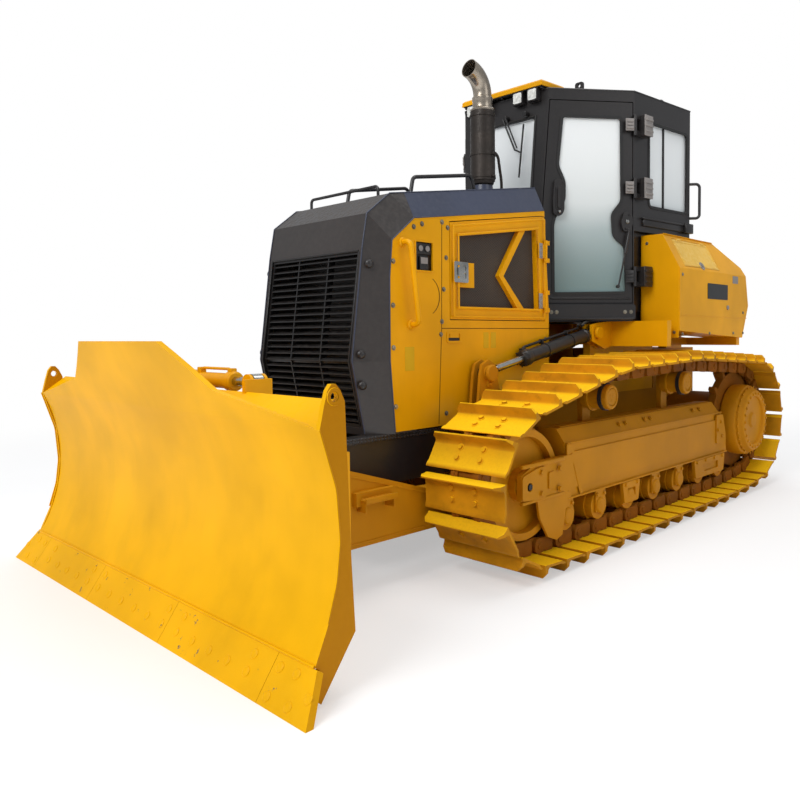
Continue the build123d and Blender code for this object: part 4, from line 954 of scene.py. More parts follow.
class BULLDOZER_OT_undercarriage(PieceOperator):
    """Adds hub covers, caps, guards, weld lines and bolts to the track frames"""

    bl_idname = "bulldozer.undercarriage"
    bl_label = "Undercarriage fittings"

    def drive_cover(self):
        y, z = SPROCKET[:2]
        shell = turned("X", (0, y, z), [(0.972, 0.15), (0.972, 0.285), (0.985, 0.297), (1.04, 0.3),
            (1.09, 0.297), (1.104, 0.29), (1.11, 0.276), (1.128, 0.274), (1.136, 0.266), (1.15, 0.262),
            (1.166, 0.252), (1.172, 0.238), (1.172, 0.214), (1.164, 0.204), (1.146, 0.2), (1.14, 0.188),
            (1.14, 0.07), (1.148, 0.062), (1.156, 0.055), (1.158, 0.0)], 64)
        inner = turned("X", (0, y, z), [(0.445, 0.0), (0.445, 0.225), (0.905, 0.225), (0.905, 0.0)], 40)
        ring = wheel(1.172, y, z, 0.228, [math.tau * k / 24 for k in range(24)], True)
        rim = wheel(1.124, y, z, 0.283, [math.tau * (k + 0.5) / 30 for k in range(30)], True)
        return join(shell, inner, spread(bolt(0.011), ring), spread(bolt(0.009, False), rim))

    def idler_block(self):
        outline = round_loop([(-1.052, 0.424), (-1.052, 0.556), (-0.905, 0.59), (-0.83, 0.59),
            (-0.83, 0.41), (-0.905, 0.41)], 0.022)
        hole = arc(IDLER_BORE, 0.024, 0, 342, 19)
        face = plate(outline, "YZ", 1.0705, 0.016, 0.004, [hole])
        plug = drum("X", (1.071, *IDLER_BORE), 0.025, 0.006, 24)
        ledge = block((1.058, -1.045, 0.596), (1.082, -0.64, 0.618), 0.004)
        foot = block((1.058, -1.045, 0.396), (1.082, -0.64, 0.414), 0.004)
        heads = spread(bolt(0.015), faced(1.0865, ((-0.88, 0.56), (-0.88, 0.44), (-0.7, 0.56),
            (-0.7, 0.44))))
        slot = plate(round_box(-0.8, 0.452, -0.745, 0.548, 0.012), "YZ", 1.0735, 0.01, 0.003)
        return join(face, plug, ledge, foot, heads, slot)

    def frame_lines(self):
        seams = [block((1.06, -0.59, 0.684), (1.0665, 1.63, 0.692), 0.002), block((1.06, -0.59, 0.352),
            (1.068, 1.74, 0.362), 0.002), plate([(-0.6, 0.362), (-0.6, 0.684), (-0.56, 0.684),
            (-0.56, 0.362)], "YZ", 1.058, 0.012, 0.003),
            plate([(-0.56, 0.662), (-0.548, 0.684), (-0.53, 0.684), (-0.42, 0.376), (-0.432, 0.364),
            (-0.45, 0.364)], "YZ", 1.058, 0.006, 0.002),
            plate(round_loop([(1.52, 0.44), (1.52, 0.672), (1.64, 0.672), (1.7, 0.5), (1.7, 0.44)], 0.02),
            "YZ", 1.058, 0.014, 0.004), plate([(-0.54, 0.77), (1.57, 0.77), (1.57, 0.776),
            (-0.54, 0.776)], "YZ", 0.935, 0.04, 0.001)]
        heads = faced(1.0725, ((1.598, 0.61), (1.618, 0.495), (1.545, 0.55)))
        heads += [stud((1.024, y, 0.737), (0.8, 0, 0.6)) for y in (0.076, 0.16, 0.421, 0.505, 1.18, 1.3)]
        return join(*seams, spread(bolt(0.013), heads))

    def guards(self):
        plates = []
        for low, high in ((0.045, 0.275), (1.12, 1.68)):
            outline = round_loop([(low, 0.35), (low + 0.024, 0.212), (high - 0.024, 0.212), (high, 0.35)],
                0.016)
            middle = (low + high) / 2
            span = 0.052 if high < 1 else 0.15
            hole = round_box(middle - span, 0.25, middle + span, 0.306, 0.012)
            plates.append(plate(outline, "YZ", 1.0565, 0.014, 0.003, [hole]))
        heads = [stud((1.0705, y, 0.334), OUTWARDS) for y in (0.085, 0.235, 1.165, 1.32, 1.48, 1.63)]
        caps = [turned("X", (0, y, ROLLER_LINE), [(1.04, 0.0), (1.04, 0.052), (1.06, 0.052),
            (1.068, 0.044), (1.068, 0.03), (1.06, 0.024), (1.06, 0.0)], 24) for y in ROLLERS]
        feet = [stud((1.056, y + s, 0.322), OUTWARDS) for y in ROLLERS for s in (-0.04, 0.04)
            if not 0.045 < y < 0.275 and y < 1.12]
        return join(*plates, *caps, spread(bolt(0.012), heads + feet))

    def carrier_caps(self):
        caps = [turned("X", (0, y, z), [(1.05, 0.0), (1.05, 0.08), (1.074, 0.082), (1.085, 0.078),
            (1.09, 0.07), (1.09, 0.06), (1.078, 0.052), (1.074, 0.04), (1.08, 0.032), (1.082, 0.0)], 36)
            for y, z in CARRIERS]
        heads = [stud((1.082, y + 0.018 * math.cos(a), z + 0.018 * math.sin(a)), OUTWARDS)
            for y, z in CARRIERS for a in (0.5, 2.6, 4.7)]
        return join(*caps, spread(bolt(0.006, False), heads))

    def seals(self):
        rings = [turned("X", (0, y, z), [(1.028, 0.05), (1.028, 0.088), (1.054, 0.088), (1.054, 0.05)],
            32) for y, z in CARRIERS]
        rings.append(drum("X", (1.088, *IDLER_BORE), 0.017, 0.004, 20))
        return join(*rings)

    def build(self, sizes):
        covers = fit("drive_covers", doubled(self.drive_cover()), "chassis", "frame")
        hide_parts("final_drives")
        for make, name, finish in ((self.idler_block, "idler_blocks", "frame"),
                (self.frame_lines, "track_frame_seams", "frame"), (self.guards, "guard_plates", "frame"),
                (self.carrier_caps, "carrier_caps", "frame"), (self.seals, "roller_seals", "rubber")):
            fit(name, doubled(make()), "chassis", finish)


class BULLDOZER_OT_cylinders(PieceOperator):
    """Adds glands, side tubes, hoses, pin caps and steps to the cylinders and the push frame"""

    bl_idname = "bulldozer.cylinders"
    bl_label = "Cylinder fittings"

    def lift_gland(self):
        place = along(LIFT_BASE, LIFT_EYE)
        ring = turned("Z", (0, 0, 0), [(0.8, 0.0462), (0.8, 0.054), (0.806, 0.056), (0.846, 0.056),
            (0.85, 0.052), (0.866, 0.05), (0.872, 0.04), (0.872, 0.0265)], 40)
        back = turned("Z", (0, 0, 0), [(0.1, 0.03), (0.1, 0.05), (0.104, 0.052), (0.128, 0.052),
            (0.132, 0.0462)], 40)
        bands = [turned("Z", (0, 0, 0), [(s, 0.0462), (s, 0.0505), (s + 0.022, 0.0505),
            (s + 0.022, 0.0462)], 40) for s in (0.285, 0.585)]
        heads = spread(bolt(0.0065, False),
            [Matrix.Translation((0.051 * math.cos(a), 0.051 * math.sin(a), 0.868))
            for a in (math.tau * k / 8 for k in range(8))])
        return moved(join(ring, back, *bands, heads), place)

    def lift_tube(self):
        place = along(LIFT_BASE, LIFT_EYE)
        tube = pipe([(0.02, -0.045, 0.83), (0.028, -0.064, 0.8), (0.028, -0.064, 0.24),
            (0.028, -0.064, 0.14)], 0.009, 0.02)
        lug = block((0.006, -0.062, 0.8), (0.04, -0.04, 0.835), 0.004)
        clips = [block((0.012, -0.076, s), (0.044, -0.044, s + 0.018), 0.003) for s in (0.288, 0.588)]
        return moved(join(tube, lug, *clips), place)

    def lift_hose(self):
        hoses = []
        for shift in (0.0, 0.034):
            x = 0.552 + shift
            hoses.append(pipe([(x, 0.3, 1.392), (x, 0.36, 1.425), (x, 0.47, 1.425), (x, 0.56, 1.395),
                (x, 0.628, 1.395)], 0.011, 0.05))
        return join(*hoses)

    def pin_caps(self):
        y, z = LIFT_EYE[1:]
        cap = turned("X", (0, y, z), [(0.634, 0.0), (0.634, 0.046), (0.64, 0.052), (0.652, 0.052),
            (0.658, 0.046), (0.658, 0.0)], 36)
        keeper = plate(round_box(y - 0.02, z - 0.085, y + 0.02, z - 0.04, 0.008), "YZ", 0.62, 0.012, 0.002)
        heads = [stud((0.632, y, z - 0.068), OUTWARDS)]
        window = plate(round_box(-0.8, 0.69, -0.725, 0.8, 0.02), "YZ", ARM_FACE, 0.006, 0.002)
        ridge = plate([(-1.01, 0.47), (-0.88, 0.88), (-0.868, 0.88), (-0.996, 0.47)], "YZ", ARM_FACE,
            0.008, 0.002)
        return join(cap, keeper, window, ridge, spread(bolt(0.011), heads))

    def eye_cap(self):
        return turned("X", (0, LIFT_BASE[1], LIFT_BASE[2]), [(0.626, 0.0), (0.626, 0.04), (0.632, 0.045),
            (0.645, 0.045), (0.65, 0.04), (0.65, 0.0)], 32)

    def step(self):
        tread = block((0.622, -1.83, 0.494), (0.7, -1.62, 0.506), 0.003)
        edge = block((0.694, -1.832, 0.486), (0.704, -1.618, 0.516), 0.003)
        teeth = spread(button(0.008), [Matrix.Translation((0.636 + 0.018 * i, -1.815 + 0.0217 * k, 0.506))
            for i in range(4) for k in range(9)])
        legs = [block((0.618, y, 0.44), (0.69, y + 0.01, 0.496), 0.002) for y in (-1.826, -1.634)]
        return join(tread, edge, teeth, *legs)

    def arm_lines(self):
        seam = plate([(-2.06, 0.64), (-1.9, 0.64), (-1.34, 0.464), (-1.2, 0.458), (0.2, 0.452),
            (0.2, 0.444), (-1.2, 0.45), (-1.343, 0.456), (-1.903, 0.632), (-2.06, 0.632)], "YZ", ARM_FACE,
            0.006, 0.001)
        low = plate([(-2.06, 0.27), (-1.2, 0.264), (0.2, 0.308), (0.2, 0.316), (-1.2, 0.272),
            (-2.06, 0.278)], "YZ", ARM_FACE, 0.006, 0.001)
        cap = turned("X", (0, 0.3, 0.4), [(0.62, 0.0), (0.62, 0.074), (0.628, 0.08), (0.64, 0.08),
            (0.646, 0.072), (0.646, 0.0)], 36)
        heads = wheel(0.646, 0.3, 0.4, 0.052, (0.4, 2.0, 3.5, 5.1))
        return join(seam, low, cap, spread(bolt(0.01), heads))

    def angle_fittings(self):
        place = along(ANGLE_BASE, ANGLE_EYE)
        ring = turned("Z", (0, 0, 0), [(0.43, 0.0382), (0.43, 0.0455), (0.478, 0.0455), (0.484, 0.036),
            (0.484, 0.0215)], 32)
        back = turned("Z", (0, 0, 0), [(0.058, 0.02), (0.058, 0.041), (0.082, 0.041), (0.084, 0.0382)], 32)
        tube = pipe([(0, -0.036, 0.44), (0, -0.052, 0.42), (0, -0.052, 0.12), (0, -0.04, 0.1)], 0.007, 0.02)
        return moved(join(ring, back, tube), place)

    def build(self, sizes):
        pair(self.lift_gland, "lift_glands", "lift_cylinder_%", "black")
        pair(self.lift_tube, "lift_tubes", "lift_cylinder_%", "deep")
        pair(self.lift_hose, "lift_hoses", "chassis", "rubber")
        pair(self.eye_cap, "lift_base_caps", "chassis", "body")
        pair(self.pin_caps, "lift_pin_caps", "push_frame", "frame")
        pair(self.step, "arm_steps", "push_frame", "frame")
        pair(self.arm_lines, "arm_seams", "push_frame", "frame")
        pair(self.angle_fittings, "angle_glands", "angle_cylinder_%", "black")
        caps = [turned("Z", (x, ANGLE_EYE[1], 0), [(0.765, 0.0), (0.765, 0.034), (0.775, 0.034),
            (0.78, 0.028), (0.78, 0.0)], 24) for x in (-0.72, 0.72)]
        fit("angle_pin_caps", join(*caps), "yoke", "body")
        ring = turned("X", (0, *TILT_PIN), [(0.432, 0.0365), (0.432, 0.046), (0.472, 0.046),
            (0.48, 0.038), (0.48, 0.0225)], 32)
        y, z = TILT_PIN
        tube = pipe([(0.45, y, z + 0.04), (0.43, y, z + 0.056), (0.18, y, z + 0.056),
            (0.16, y, z + 0.034)], 0.007, 0.02)
        blocks = [block((s, y - 0.016, z + 0.026), (s + 0.034, y + 0.016, z + 0.06), 0.004)
            for s in (0.15, 0.43)]
        fit("tilt_gland", join(ring, tube, *blocks), "tilt_cylinder", "body")
        hoses = [pipe([(x, -2.372, 1.02), (x, -2.34, 1.06), (x, -2.3, 0.98), (x, -2.3, 0.7),
            (x, -2.28, 0.56)], 0.011, 0.05) for x in (-0.035, 0.035)]
        fit("tower_hoses", join(*hoses), "yoke", "rubber")
        heads = spread(bolt(0.013), [stud((x, -2.449, z), BACKWARDS) for x, z in ((-0.1, 0.6), (0.1, 0.6),
            (-0.082, 0.82), (0.082, 0.82), (-0.062, 1.01), (0.062, 1.01))])
        fit("tower_bolts", heads, "yoke", "body")


class BULLDOZER_OT_cowl(PieceOperator):
    """Adds edge trims, round bolts, the nose rail's tread and the hood's seams"""

    bl_idname = "bulldozer.cowl"
    bl_label = "Cowl fittings"

    def build(self, sizes):
        normal = (0.905, -0.426, 0)
        heads = [stud((0.4745, y + 0.01, z), normal) for y, z in ((-1.607, 1.722), (-1.671, 1.234),
            (-1.665, 1.066))]
        fit("cowl_bolts", doubled(spread(button(0.024), heads)), "chassis", "black")
        # Edge beads and hood creases take the hood's blue painted reflection
        edge = pipe([(0.441, -1.616, 0.8), (0.441, -1.6985, 1.195), (0.441, -1.6165, 1.815),
            (0.441, -1.5815, 1.998), (0.441, -1.414, 2.128), (0.441, -1.303, 2.146)], 0.0035, 0.004)
        rear = pipe([(0.5205, -1.464, 0.8), (0.5205, -1.496, 1.195), (0.5205, -1.492, 1.655),
            (0.5205, -1.472, 1.857), (0.5205, -1.304, 1.9935)], 0.0035, 0.004)
        fit("cowl_edges", doubled(join(edge, rear)), "chassis", "eave")
        lip = pipe([(-0.412, -1.616, 1.795), (0.412, -1.616, 1.795)], 0.006, 0.01)
        band = block((-0.436, -1.676, 1.181), (0.436, -1.662, 1.209), 0.004)
        frame_sides = [plate([(-1.628, 0.84), (-1.704, 1.195), (-1.622, 1.79), (-1.612, 1.79),
            (-1.692, 1.195), (-1.616, 0.84)], "YZ", x, 0.012, 0.002) for x in (-0.421, 0.409)]
        fit("grille_frame", join(lip, band, *frame_sides), "chassis", "deep")
        rail = block((0.491, -1.79, 0.758), (0.5, -1.01, 0.792), 0.003)
        studs = spread(button(0.007), [stud((0.5, -1.78 + 0.024 * k, z), OUTWARDS) for k in range(32)
            for z in (0.767, 0.783)])
        fit("nose_rail_treads", doubled(join(rail, studs)), "chassis", "black")
        spot = block((0.425, -1.797, 0.77), (0.47, -1.77, 0.797), 0.005)
        fit("nose_marks", doubled(spot), "chassis", "body")
        heads = [stud((x, -1.7955, z), FORWARDS) for x in (-0.44, -0.15, 0.15, 0.44) for z in (0.55, 0.74)]
        fit("nose_bolts", spread(bolt(0.014), heads), "chassis", "black")
        ridge = Vector((0.4405, -1.303, 2.145)), Vector((0.4405, -0.062, 2.345))
        line = [ridge[0] + (ridge[1] - ridge[0]) * t + Vector((0, 0, 0.0015)) for t in (0.0, 1.0)]
        crease = pipe(line, 0.003, 0.01)
        low = pipe([(0.5205, -1.3, 1.9945), (0.5205, -0.066, 2.18)], 0.003, 0.01)
        fit("hood_creases", doubled(join(crease, low)), "chassis", "eave")
        feet = [turned("Z", (x, y, z), [(0.0, 0.0), (0.0, 0.032), (0.01, 0.032), (0.014, 0.026),
            (0.014, 0.0)], 24) for x in (-0.3, 0.3) for y, z in ((-1.118, 2.176), (-0.534, 2.27))]
        flap = block((-0.15, -0.96, 2.208), (0.02, -0.76, 2.222), 0.004)
        cap = turned("Z", (-0.18, -0.42, 2.286), [(0.0, 0.0), (0.0, 0.055), (0.03, 0.055), (0.038, 0.046),
            (0.04, 0.0)], 32)
        fit("hood_fittings", join(*feet, flap, cap), "chassis", "black")
        collar = turned("Z", (*STACK, 2.292), [(-0.02, 0.06), (-0.02, 0.104), (0.006, 0.104),
            (0.012, 0.098), (0.016, 0.07), (0.05, 0.066), (0.05, 0.0535)], 40)
        fit("collar", collar, "chassis", "eave")


class BULLDOZER_OT_panels(PieceOperator):
    """Adds bolts, seams, pulls, latches and blank plates to the side panels and engine doors"""

    bl_idname = "bulldozer.panels"
    bl_label = "Panel fittings"

    BOLTS = ((-1.306, 1.944), (-1.241, 1.966), (-1.077, 1.994), (-1.03, 1.966), (-1.465, 1.741),
        (-1.045, 1.789), (-1.067, 1.603), (-1.085, 1.414), (-1.094, 1.338), (-1.47, 1.267),
        (-1.458, 0.941), (-1.054, 0.871), (-1.47, 1.5), (-0.6, 0.871), (-0.1, 0.871), (-0.055, 1.3))

    def bolts(self):
        x = SIDE_PANEL_X
        return spread(bolt(look().bolt_size), [stud((x, y, z), OUTWARDS, y * 9) for y, z in self.BOLTS])

    def seams(self):
        x = SIDE_PANEL_X - 0.0006
        strips = [plate([(-1.081, 1.98), (-1.077, 1.98), (-1.086, 1.374), (-1.116, 0.812), (-1.12, 0.812),
            (-1.09, 1.374)], "YZ", x, 0.0018, 0),
            plate([(-1.088, 1.372), (-0.014, 1.372), (-0.014, 1.376), (-1.088, 1.376)], "YZ", x, 0.0018,
            0)]
        swoosh = arc((-1.215, 1.56), 0.115, 60, -60, 14)
        inner = arc((-1.221, 1.56), 0.115, -60, 60, 14)
        strips.append(plate(swoosh + inner, "YZ", x, 0.0018, 0))
        return join(*strips)

    def pulls(self):
        x = SIDE_PANEL_X
        outline = round_box(-1.046, 1.287, -0.921, 1.355, 0.014)
        rim = plate(outline, "YZ", x - 0.001, 0.006, 0.002,
            [round_box(-1.034, 1.299, -0.933, 1.343, 0.008)])
        tab = plate(round_box(-1.02, 1.318, -0.947, 1.343, 0.006), "YZ", x, 0.005, 0.0015)
        window = round_box(-1.3, 1.696, -1.151, 1.872, 0.01)
        hole = round_box(-1.292, 1.704, -1.159, 1.864, 0.006)
        frame_plate = plate(window, "YZ", x, 0.004, 0.001, [hole])
        return join(rim, tab, frame_plate)

    def recess_shade_and_gauges(self):
        x = SIDE_PANEL_X
        # pocket and back: deep black sheets in the pull's pocket and behind the window, painted shade
        pocket = block((x - 0.002, -1.034, 1.3), (x + 0.001, -0.933, 1.318), 0)
        back = block((x - 0.022, -1.294, 1.702), (x - 0.016, -1.157, 1.866), 0.001)
        upper = block((x - 0.016, -1.286, 1.796), (x - 0.004, -1.165, 1.86), 0.004)
        lower = block((x - 0.016, -1.258, 1.708), (x - 0.002, -1.188, 1.786), 0.004)
        dial = [drum("X", (x - 0.003, y, 1.829), 0.02, 0.006, 28) for y in (-1.252, -1.198)]
        return join(pocket, back, upper, lower, *dial)

    def gauge_faces(self):
        x = SIDE_PANEL_X
        faces = [drum("X", (x + 0.0005, y, 1.829), 0.0165, 0.002, 28) for y in (-1.252, -1.198)]
        label = block((x - 0.0025, -1.25, 1.742), (x - 0.001, -1.196, 1.778), 0)
        return join(*faces, label)

    def blanks(self):
        x = SIDE_PANEL_X + 0.0002
        spots = ((-0.712, 1.25, 0.05, 0.1), (-0.64, 1.25, 0.05, 0.1), (-1.385, 1.135, 0.072, 0.135))
        return join(*[plate(round_box(y, z, y + w, z + h, 0.006), "YZ", x, 0.0012, 0.0004) for y, z, w,
            h in spots])

    def latch(self):
        x = ENGINE_DOOR_X
        outline = round_box(-0.994, 1.648, -0.868, 1.772, 0.012)
        hole = round_box(-0.972, 1.672, -0.888, 1.75, 0.008)
        rim = plate(outline, "YZ", x - 0.003, 0.008, 0.003, [hole])
        cup = plate(hole, "YZ", x - 0.004, 0.004, 0.001)
        paddle = plate(round_box(-0.962, 1.684, -0.912, 1.738, 0.008), "YZ", x, 0.008, 0.003)
        lock = drum("X", (x + 0.002, -0.9, 1.711), 0.009, 0.01, 20, 0.001)
        return join(rim, cup, paddle, lock)

    def hinges(self):
        x = ENGINE_DOOR_X
        leaves = []
        for z in (1.56, 1.9):
            leaves.append(block((x - 0.001, -0.148, z - 0.052), (x + 0.006, -0.108, z + 0.052), 0.003))
            leaves.append(spread(button(0.008), [stud((x + 0.006, -0.128, z + s), OUTWARDS)
                for s in (-0.034, 0.0, 0.034)]))
        return join(*leaves)

    def door_edge(self):
        x = ENGINE_DOOR_X
        outline = [(-0.998, 1.44), (-0.998, 1.985), (-0.112, 2.118), (-0.074, 2.118), (-0.074, 1.44)]
        frame_strip = plate(outline, "YZ", x - 0.001, 0.004, 0.0015, [offset(outline, -0.01)])
        mesh = [(-0.945, 1.505), (-0.945, 1.925), (-0.16, 2.04), (-0.135, 1.505)]
        rim = plate(offset(mesh, 0.014), "YZ", x - 0.001, 0.005, 0.002, [mesh])
        return join(frame_strip, rim)

    def gasket(self):
        """Rubber lip behind the gap round the engine door."""
        outline = [(-1.036, 1.406), (-1.036, 2.012), (-0.104, 2.15), (-0.03, 2.15), (-0.03, 1.406)]
        return plate(outline, "YZ", 0.4705, 0.006, 0.001, [offset(outline, -0.044)])

    def build(self, sizes):
        pair(self.bolts, "panel_bolts", "chassis", "zinc")
        pair(self.seams, "panel_seams", "chassis", "seam")
        pair(self.pulls, "panel_pulls", "chassis", "body")
        pair(self.recess_shade_and_gauges, "panel_recesses", "chassis", "deep")
        pair(self.gauge_faces, "gauge_faces", "chassis", "alloy")
        pair(self.blanks, "blank_labels", "chassis", "label")
        pair(self.latch, "door_latches", "engine_door_%", "chrome")
        pair(self.hinges, "door_hinge_plates", "engine_door_%", "alloy")
        pair(self.door_edge, "door_rims", "engine_door_%", "body")
        pair(self.gasket, "door_gaskets", "chassis", "rubber")
        feet = [turned("X", (0, y, z), [(0.519, 0.0), (0.519, 0.028), (0.526, 0.028), (0.532, 0.02),
            (0.532, 0.0)], 24) for y, z in ((-1.395, 1.85), (-1.335, 1.395))]
        fit("handle_feet", doubled(join(*feet)), "chassis", "body")


class BULLDOZER_OT_exhaust(PieceOperator):
    """Adds clamps and flanges to the exhaust"""

    bl_idname = "bulldozer.exhaust"
    bl_label = "Exhaust fittings"

    def build(self, sizes):
        x, y = STACK
        clamp = turned("Z", (x, y, 0), [(2.838, 0.06), (2.838, 0.082), (2.848, 0.084), (2.856, 0.078),
            (2.862, 0.068), (2.905, 0.0665), (2.912, 0.07), (2.93, 0.07), (2.936, 0.0625)], 48)
        fit("clamp", clamp, "chassis", "stack")
        rings = [turned("Z", (x, y, 0), [(z, 0.0842), (z, 0.0885), (z + 0.012, 0.0885),
            (z + 0.012, 0.0842)], 48) for z in (2.392, 2.54, 2.8)]
        strap = turned("Z", (x, y, 0), [(2.352, 0.0525), (2.352, 0.072), (2.374, 0.078), (2.378, 0.084)],
            48)
        tabs = [block((x + 0.082, y - 0.012, z), (x + 0.104, y + 0.012, z + 0.014), 0.002)
            for z in (2.391, 2.539)]
        brace = pipe([(x, y + 0.08, 2.6), (x, y + 0.16, 2.58), (x, y + 0.2, 2.4), (x, y + 0.2, 2.3)],
            0.01, 0.03)
        fit("silencer_bands", join(*rings, strap, *tabs, brace), "chassis", "silencer")


class BULLDOZER_OT_cab(PieceOperator):
    """Adds window seals, handles, locks, hinges, wipers, ledges and roof fittings to the cab"""

    bl_idname = "bulldozer.cab"
    bl_label = "Cab fittings"

    def door_seals(self):
        width = look().seal_width
        ring = offset(round_loop(DOOR_WINDOW, 0.03), 0.004)
        hole = offset(ring, -width)
        flat = plate(ring, "XZ", -0.005, 0.008, 0.003, [hole])
        inside = plate(ring, "XZ", 0.03, 0.008, 0.003, [hole])
        return moved(join(flat, inside), wall(*DOOR_WALL))

    def door_fittings(self):
        handle = plate(round_loop([(0.026, 2.19), (0.022, 2.3), (0.036, 2.44), (0.094, 2.44),
            (0.108, 2.4), (0.108, 2.22), (0.084, 2.18)], 0.022), "XZ", -0.03, 0.032, 0.008)
        cup = plate(round_box(0.042, 2.225, 0.09, 2.395, 0.014), "XZ", -0.034, 0.006, 0.002)
        lever = plate(round_box(0.054, 2.235, 0.08, 2.38, 0.01), "XZ", -0.046, 0.014, 0.004)
        lock = plate(round_loop([(0.55, 2.075), (0.53, 2.14), (0.556, 2.215), (0.612, 2.215),
            (0.622, 2.14), (0.606, 2.075)], 0.018), "XZ", -0.028, 0.03, 0.007)
        heads = spread(bolt(0.008, False), [stud((u, -0.03, z), FORWARDS)
            for u, z in ((0.05, 2.205), (0.098, 2.415), (0.57, 2.095), (0.595, 2.195))])
        stay = pipe([(0.592, -0.03, 2.085), (0.556, -0.034, 1.9), (0.512, -0.03, 1.68)], 0.0065, 0.02)
        sleeve = drum("Z", (0, 0, 0), 0.011, 0.15, 16, 0.002)
        down = along((0.588, -0.031, 2.06), (0.56, -0.034, 1.92))
        moved(sleeve, down @ Matrix.Translation((0, 0, 0.075)))
        ends = [drum("Y", (u, -0.018, z), 0.013, 0.026, 16, 0.002)
            for u, z in ((0.592, 2.088), (0.511, 1.678))]
        rib = plate([(0.01, 1.585), (0.008, 1.6), (0.612, 1.6), (0.612, 1.585)], "XZ", -0.006, 0.008, 0.003)
        return moved(join(handle, cup, lever, lock, heads, stay, sleeve, *ends, rib), wall(*DOOR_WALL))

    def keyholes(self):
        barrel = drum("Y", (0.578, -0.031, 2.146), 0.013, 0.01, 24, 0.001)
        slot = block((0.576, -0.038, 2.138), (0.58, -0.035, 2.154), 0)
        button_piece = drum("Y", (0.067, -0.048, 2.208), 0.009, 0.008, 20, 0.001)
        return moved(join(barrel, slot, button_piece), wall(*DOOR_WALL))

    def hinge_set(self, heights, moving):
        pieces = []
        for z in heights:
            if moving:
                u0, u1, out = DOOR_WIDTH - 0.078, DOOR_WIDTH - 0.014, -0.0335
            else:
                u0, u1, out = 0.026, 0.129, -0.069
            half = 0.044 if moving else 0.074
            pieces.append(block((u0, out - 0.006, z - half), (u1, out, z + half), 0.004))
            for k in (-1, 0, 1):
                pieces.append(block((u0 + 0.008, out - 0.014, z + k * half * 0.55 - 0.008),
                    (u1 - 0.006, out - 0.004, z + k * half * 0.55 + 0.008), 0.003))
        return moved(join(*pieces), wall(*(DOOR_WALL if moving else SIDE_WALL)))

    def side_seals(self):
        ring = round_box(0.174, 2.265, 0.726, 2.909, 0.056)
        flat = plate(ring, "XZ", -0.005, 0.01, 0.003, [offset(ring, -look().seal_width)])
        divider = block((0.392, 0.012, 2.28), (0.41, 0.03, 2.896), 0.003)
        return moved(join(flat, divider), wall(*SIDE_WALL))

    def sill(self):
        sill = plate(round_box(-0.03, 1.44, DOOR_WIDTH + 0.006, 1.545, 0.012), "XZ", -0.022, 0.02, 0.005)
        lip = block((-0.02, -0.034, 1.436), (DOOR_WIDTH - 0.01, -0.004, 1.45), 0.004)
        return moved(join(sill, lip), wall(*DOOR_WALL))

    def sill_bolts(self):
        heads = [stud((u, -0.022, 1.492), FORWARDS) for u in (0.01, 0.05, DOOR_WIDTH - 0.075,
            DOOR_WIDTH - 0.03)]
        return moved(spread(bolt(0.011), heads), wall(*DOOR_WALL))

    def ledge(self):
        rail = block((0.1, -0.018, 2.128), (0.74, 0.004, 2.178), 0.006)
        cap = block((0.085, -0.028, 2.176), (0.745, 0.004, 2.19), 0.004)
        end = block((0.64, -0.04, 2.12), (0.748, 0.004, 2.196), 0.006)
        return moved(join(rail, cap, end), wall(*SIDE_WALL))

    def wipers(self):
        pieces = []
        for a, b, radius in (((0.02, 0.11, 2.93), (0.13, 0.112, 2.69), 0.007),
                ((0.045, 0.11, 2.935), (0.15, 0.112, 2.7), 0.006),
                ((0.215, 0.108, 2.86), (0.178, 0.098, 2.48), 0.007),
                ((-0.215, 0.108, 2.86), (-0.178, 0.098, 2.48), 0.007)):
            pieces.append(pipe([a, tuple((p + q) / 2 for p, q in zip(a, b)), b], radius, 0.01))
        pieces.append(pipe([(0.13, 0.11, 2.69), (0.19, 0.104, 2.66)], 0.006, 0.01))
        pieces += [drum("Y", (x, 0.132, 2.935), 0.022, 0.05, 20, 0.004) for x in (0.032, -0.215, 0.215)]
        return join(*pieces)

    def front_seals(self):
        loops = []
        points = [(-0.268, 1.894), (-0.268, 2.21), (-0.292, 2.909), (0.292, 2.909), (0.268, 2.21),
            (0.268, 1.894)]
        loops.append(bead([(x, self.front_y(z), z) for x, z in points], 0.012))
        rear = round_box(-0.508, 2.142, 0.508, 2.911, 0.05)
        loops.append(bead([(x, 1.61, z) for x, z in rear], 0.013))
        return join(*loops)

    def front_y(self, z):
        """The front wall is upright below the waist and leans back above it."""
        return 0.1138 + 0.0462 * max(0.0, z - 2.21) / (3.025 - 2.21)

    def roof_fittings(self):
        eye = plate(round_box(0.47, 3.1, 0.54, 3.16, 0.02), "XZ", 0.39, 0.016, 0.004,
            [arc((0.505, 3.134), 0.012, 0, 342, 19)])
        twin = plate(round_box(-0.54, 3.1, -0.47, 3.16, 0.02), "XZ", 0.39, 0.016, 0.004,
            [arc((-0.505, 3.134), 0.012, 0, 342, 19)])
        knob = turned("Z", (0.79, 1.09, 3.086), [(0.0, 0.0), (0.0, 0.036), (0.016, 0.036), (0.024, 0.022),
            (0.034, 0.022), (0.044, 0.01), (0.046, 0.0)], 28)
        base = block((-0.18, 0.9, 3.104), (0.18, 1.24, 3.116), 0.006)
        rim = bead([(x, y, 3.088) for x, y in ((0.402, 0.164), (0.808, 0.654), (0.884, 1.4),
            (0.62, 1.608), (-0.62, 1.608), (-0.884, 1.4), (-0.808, 0.654), (-0.402, 0.164))], 0.006)
        return join(eye, twin, knob, base, rim)

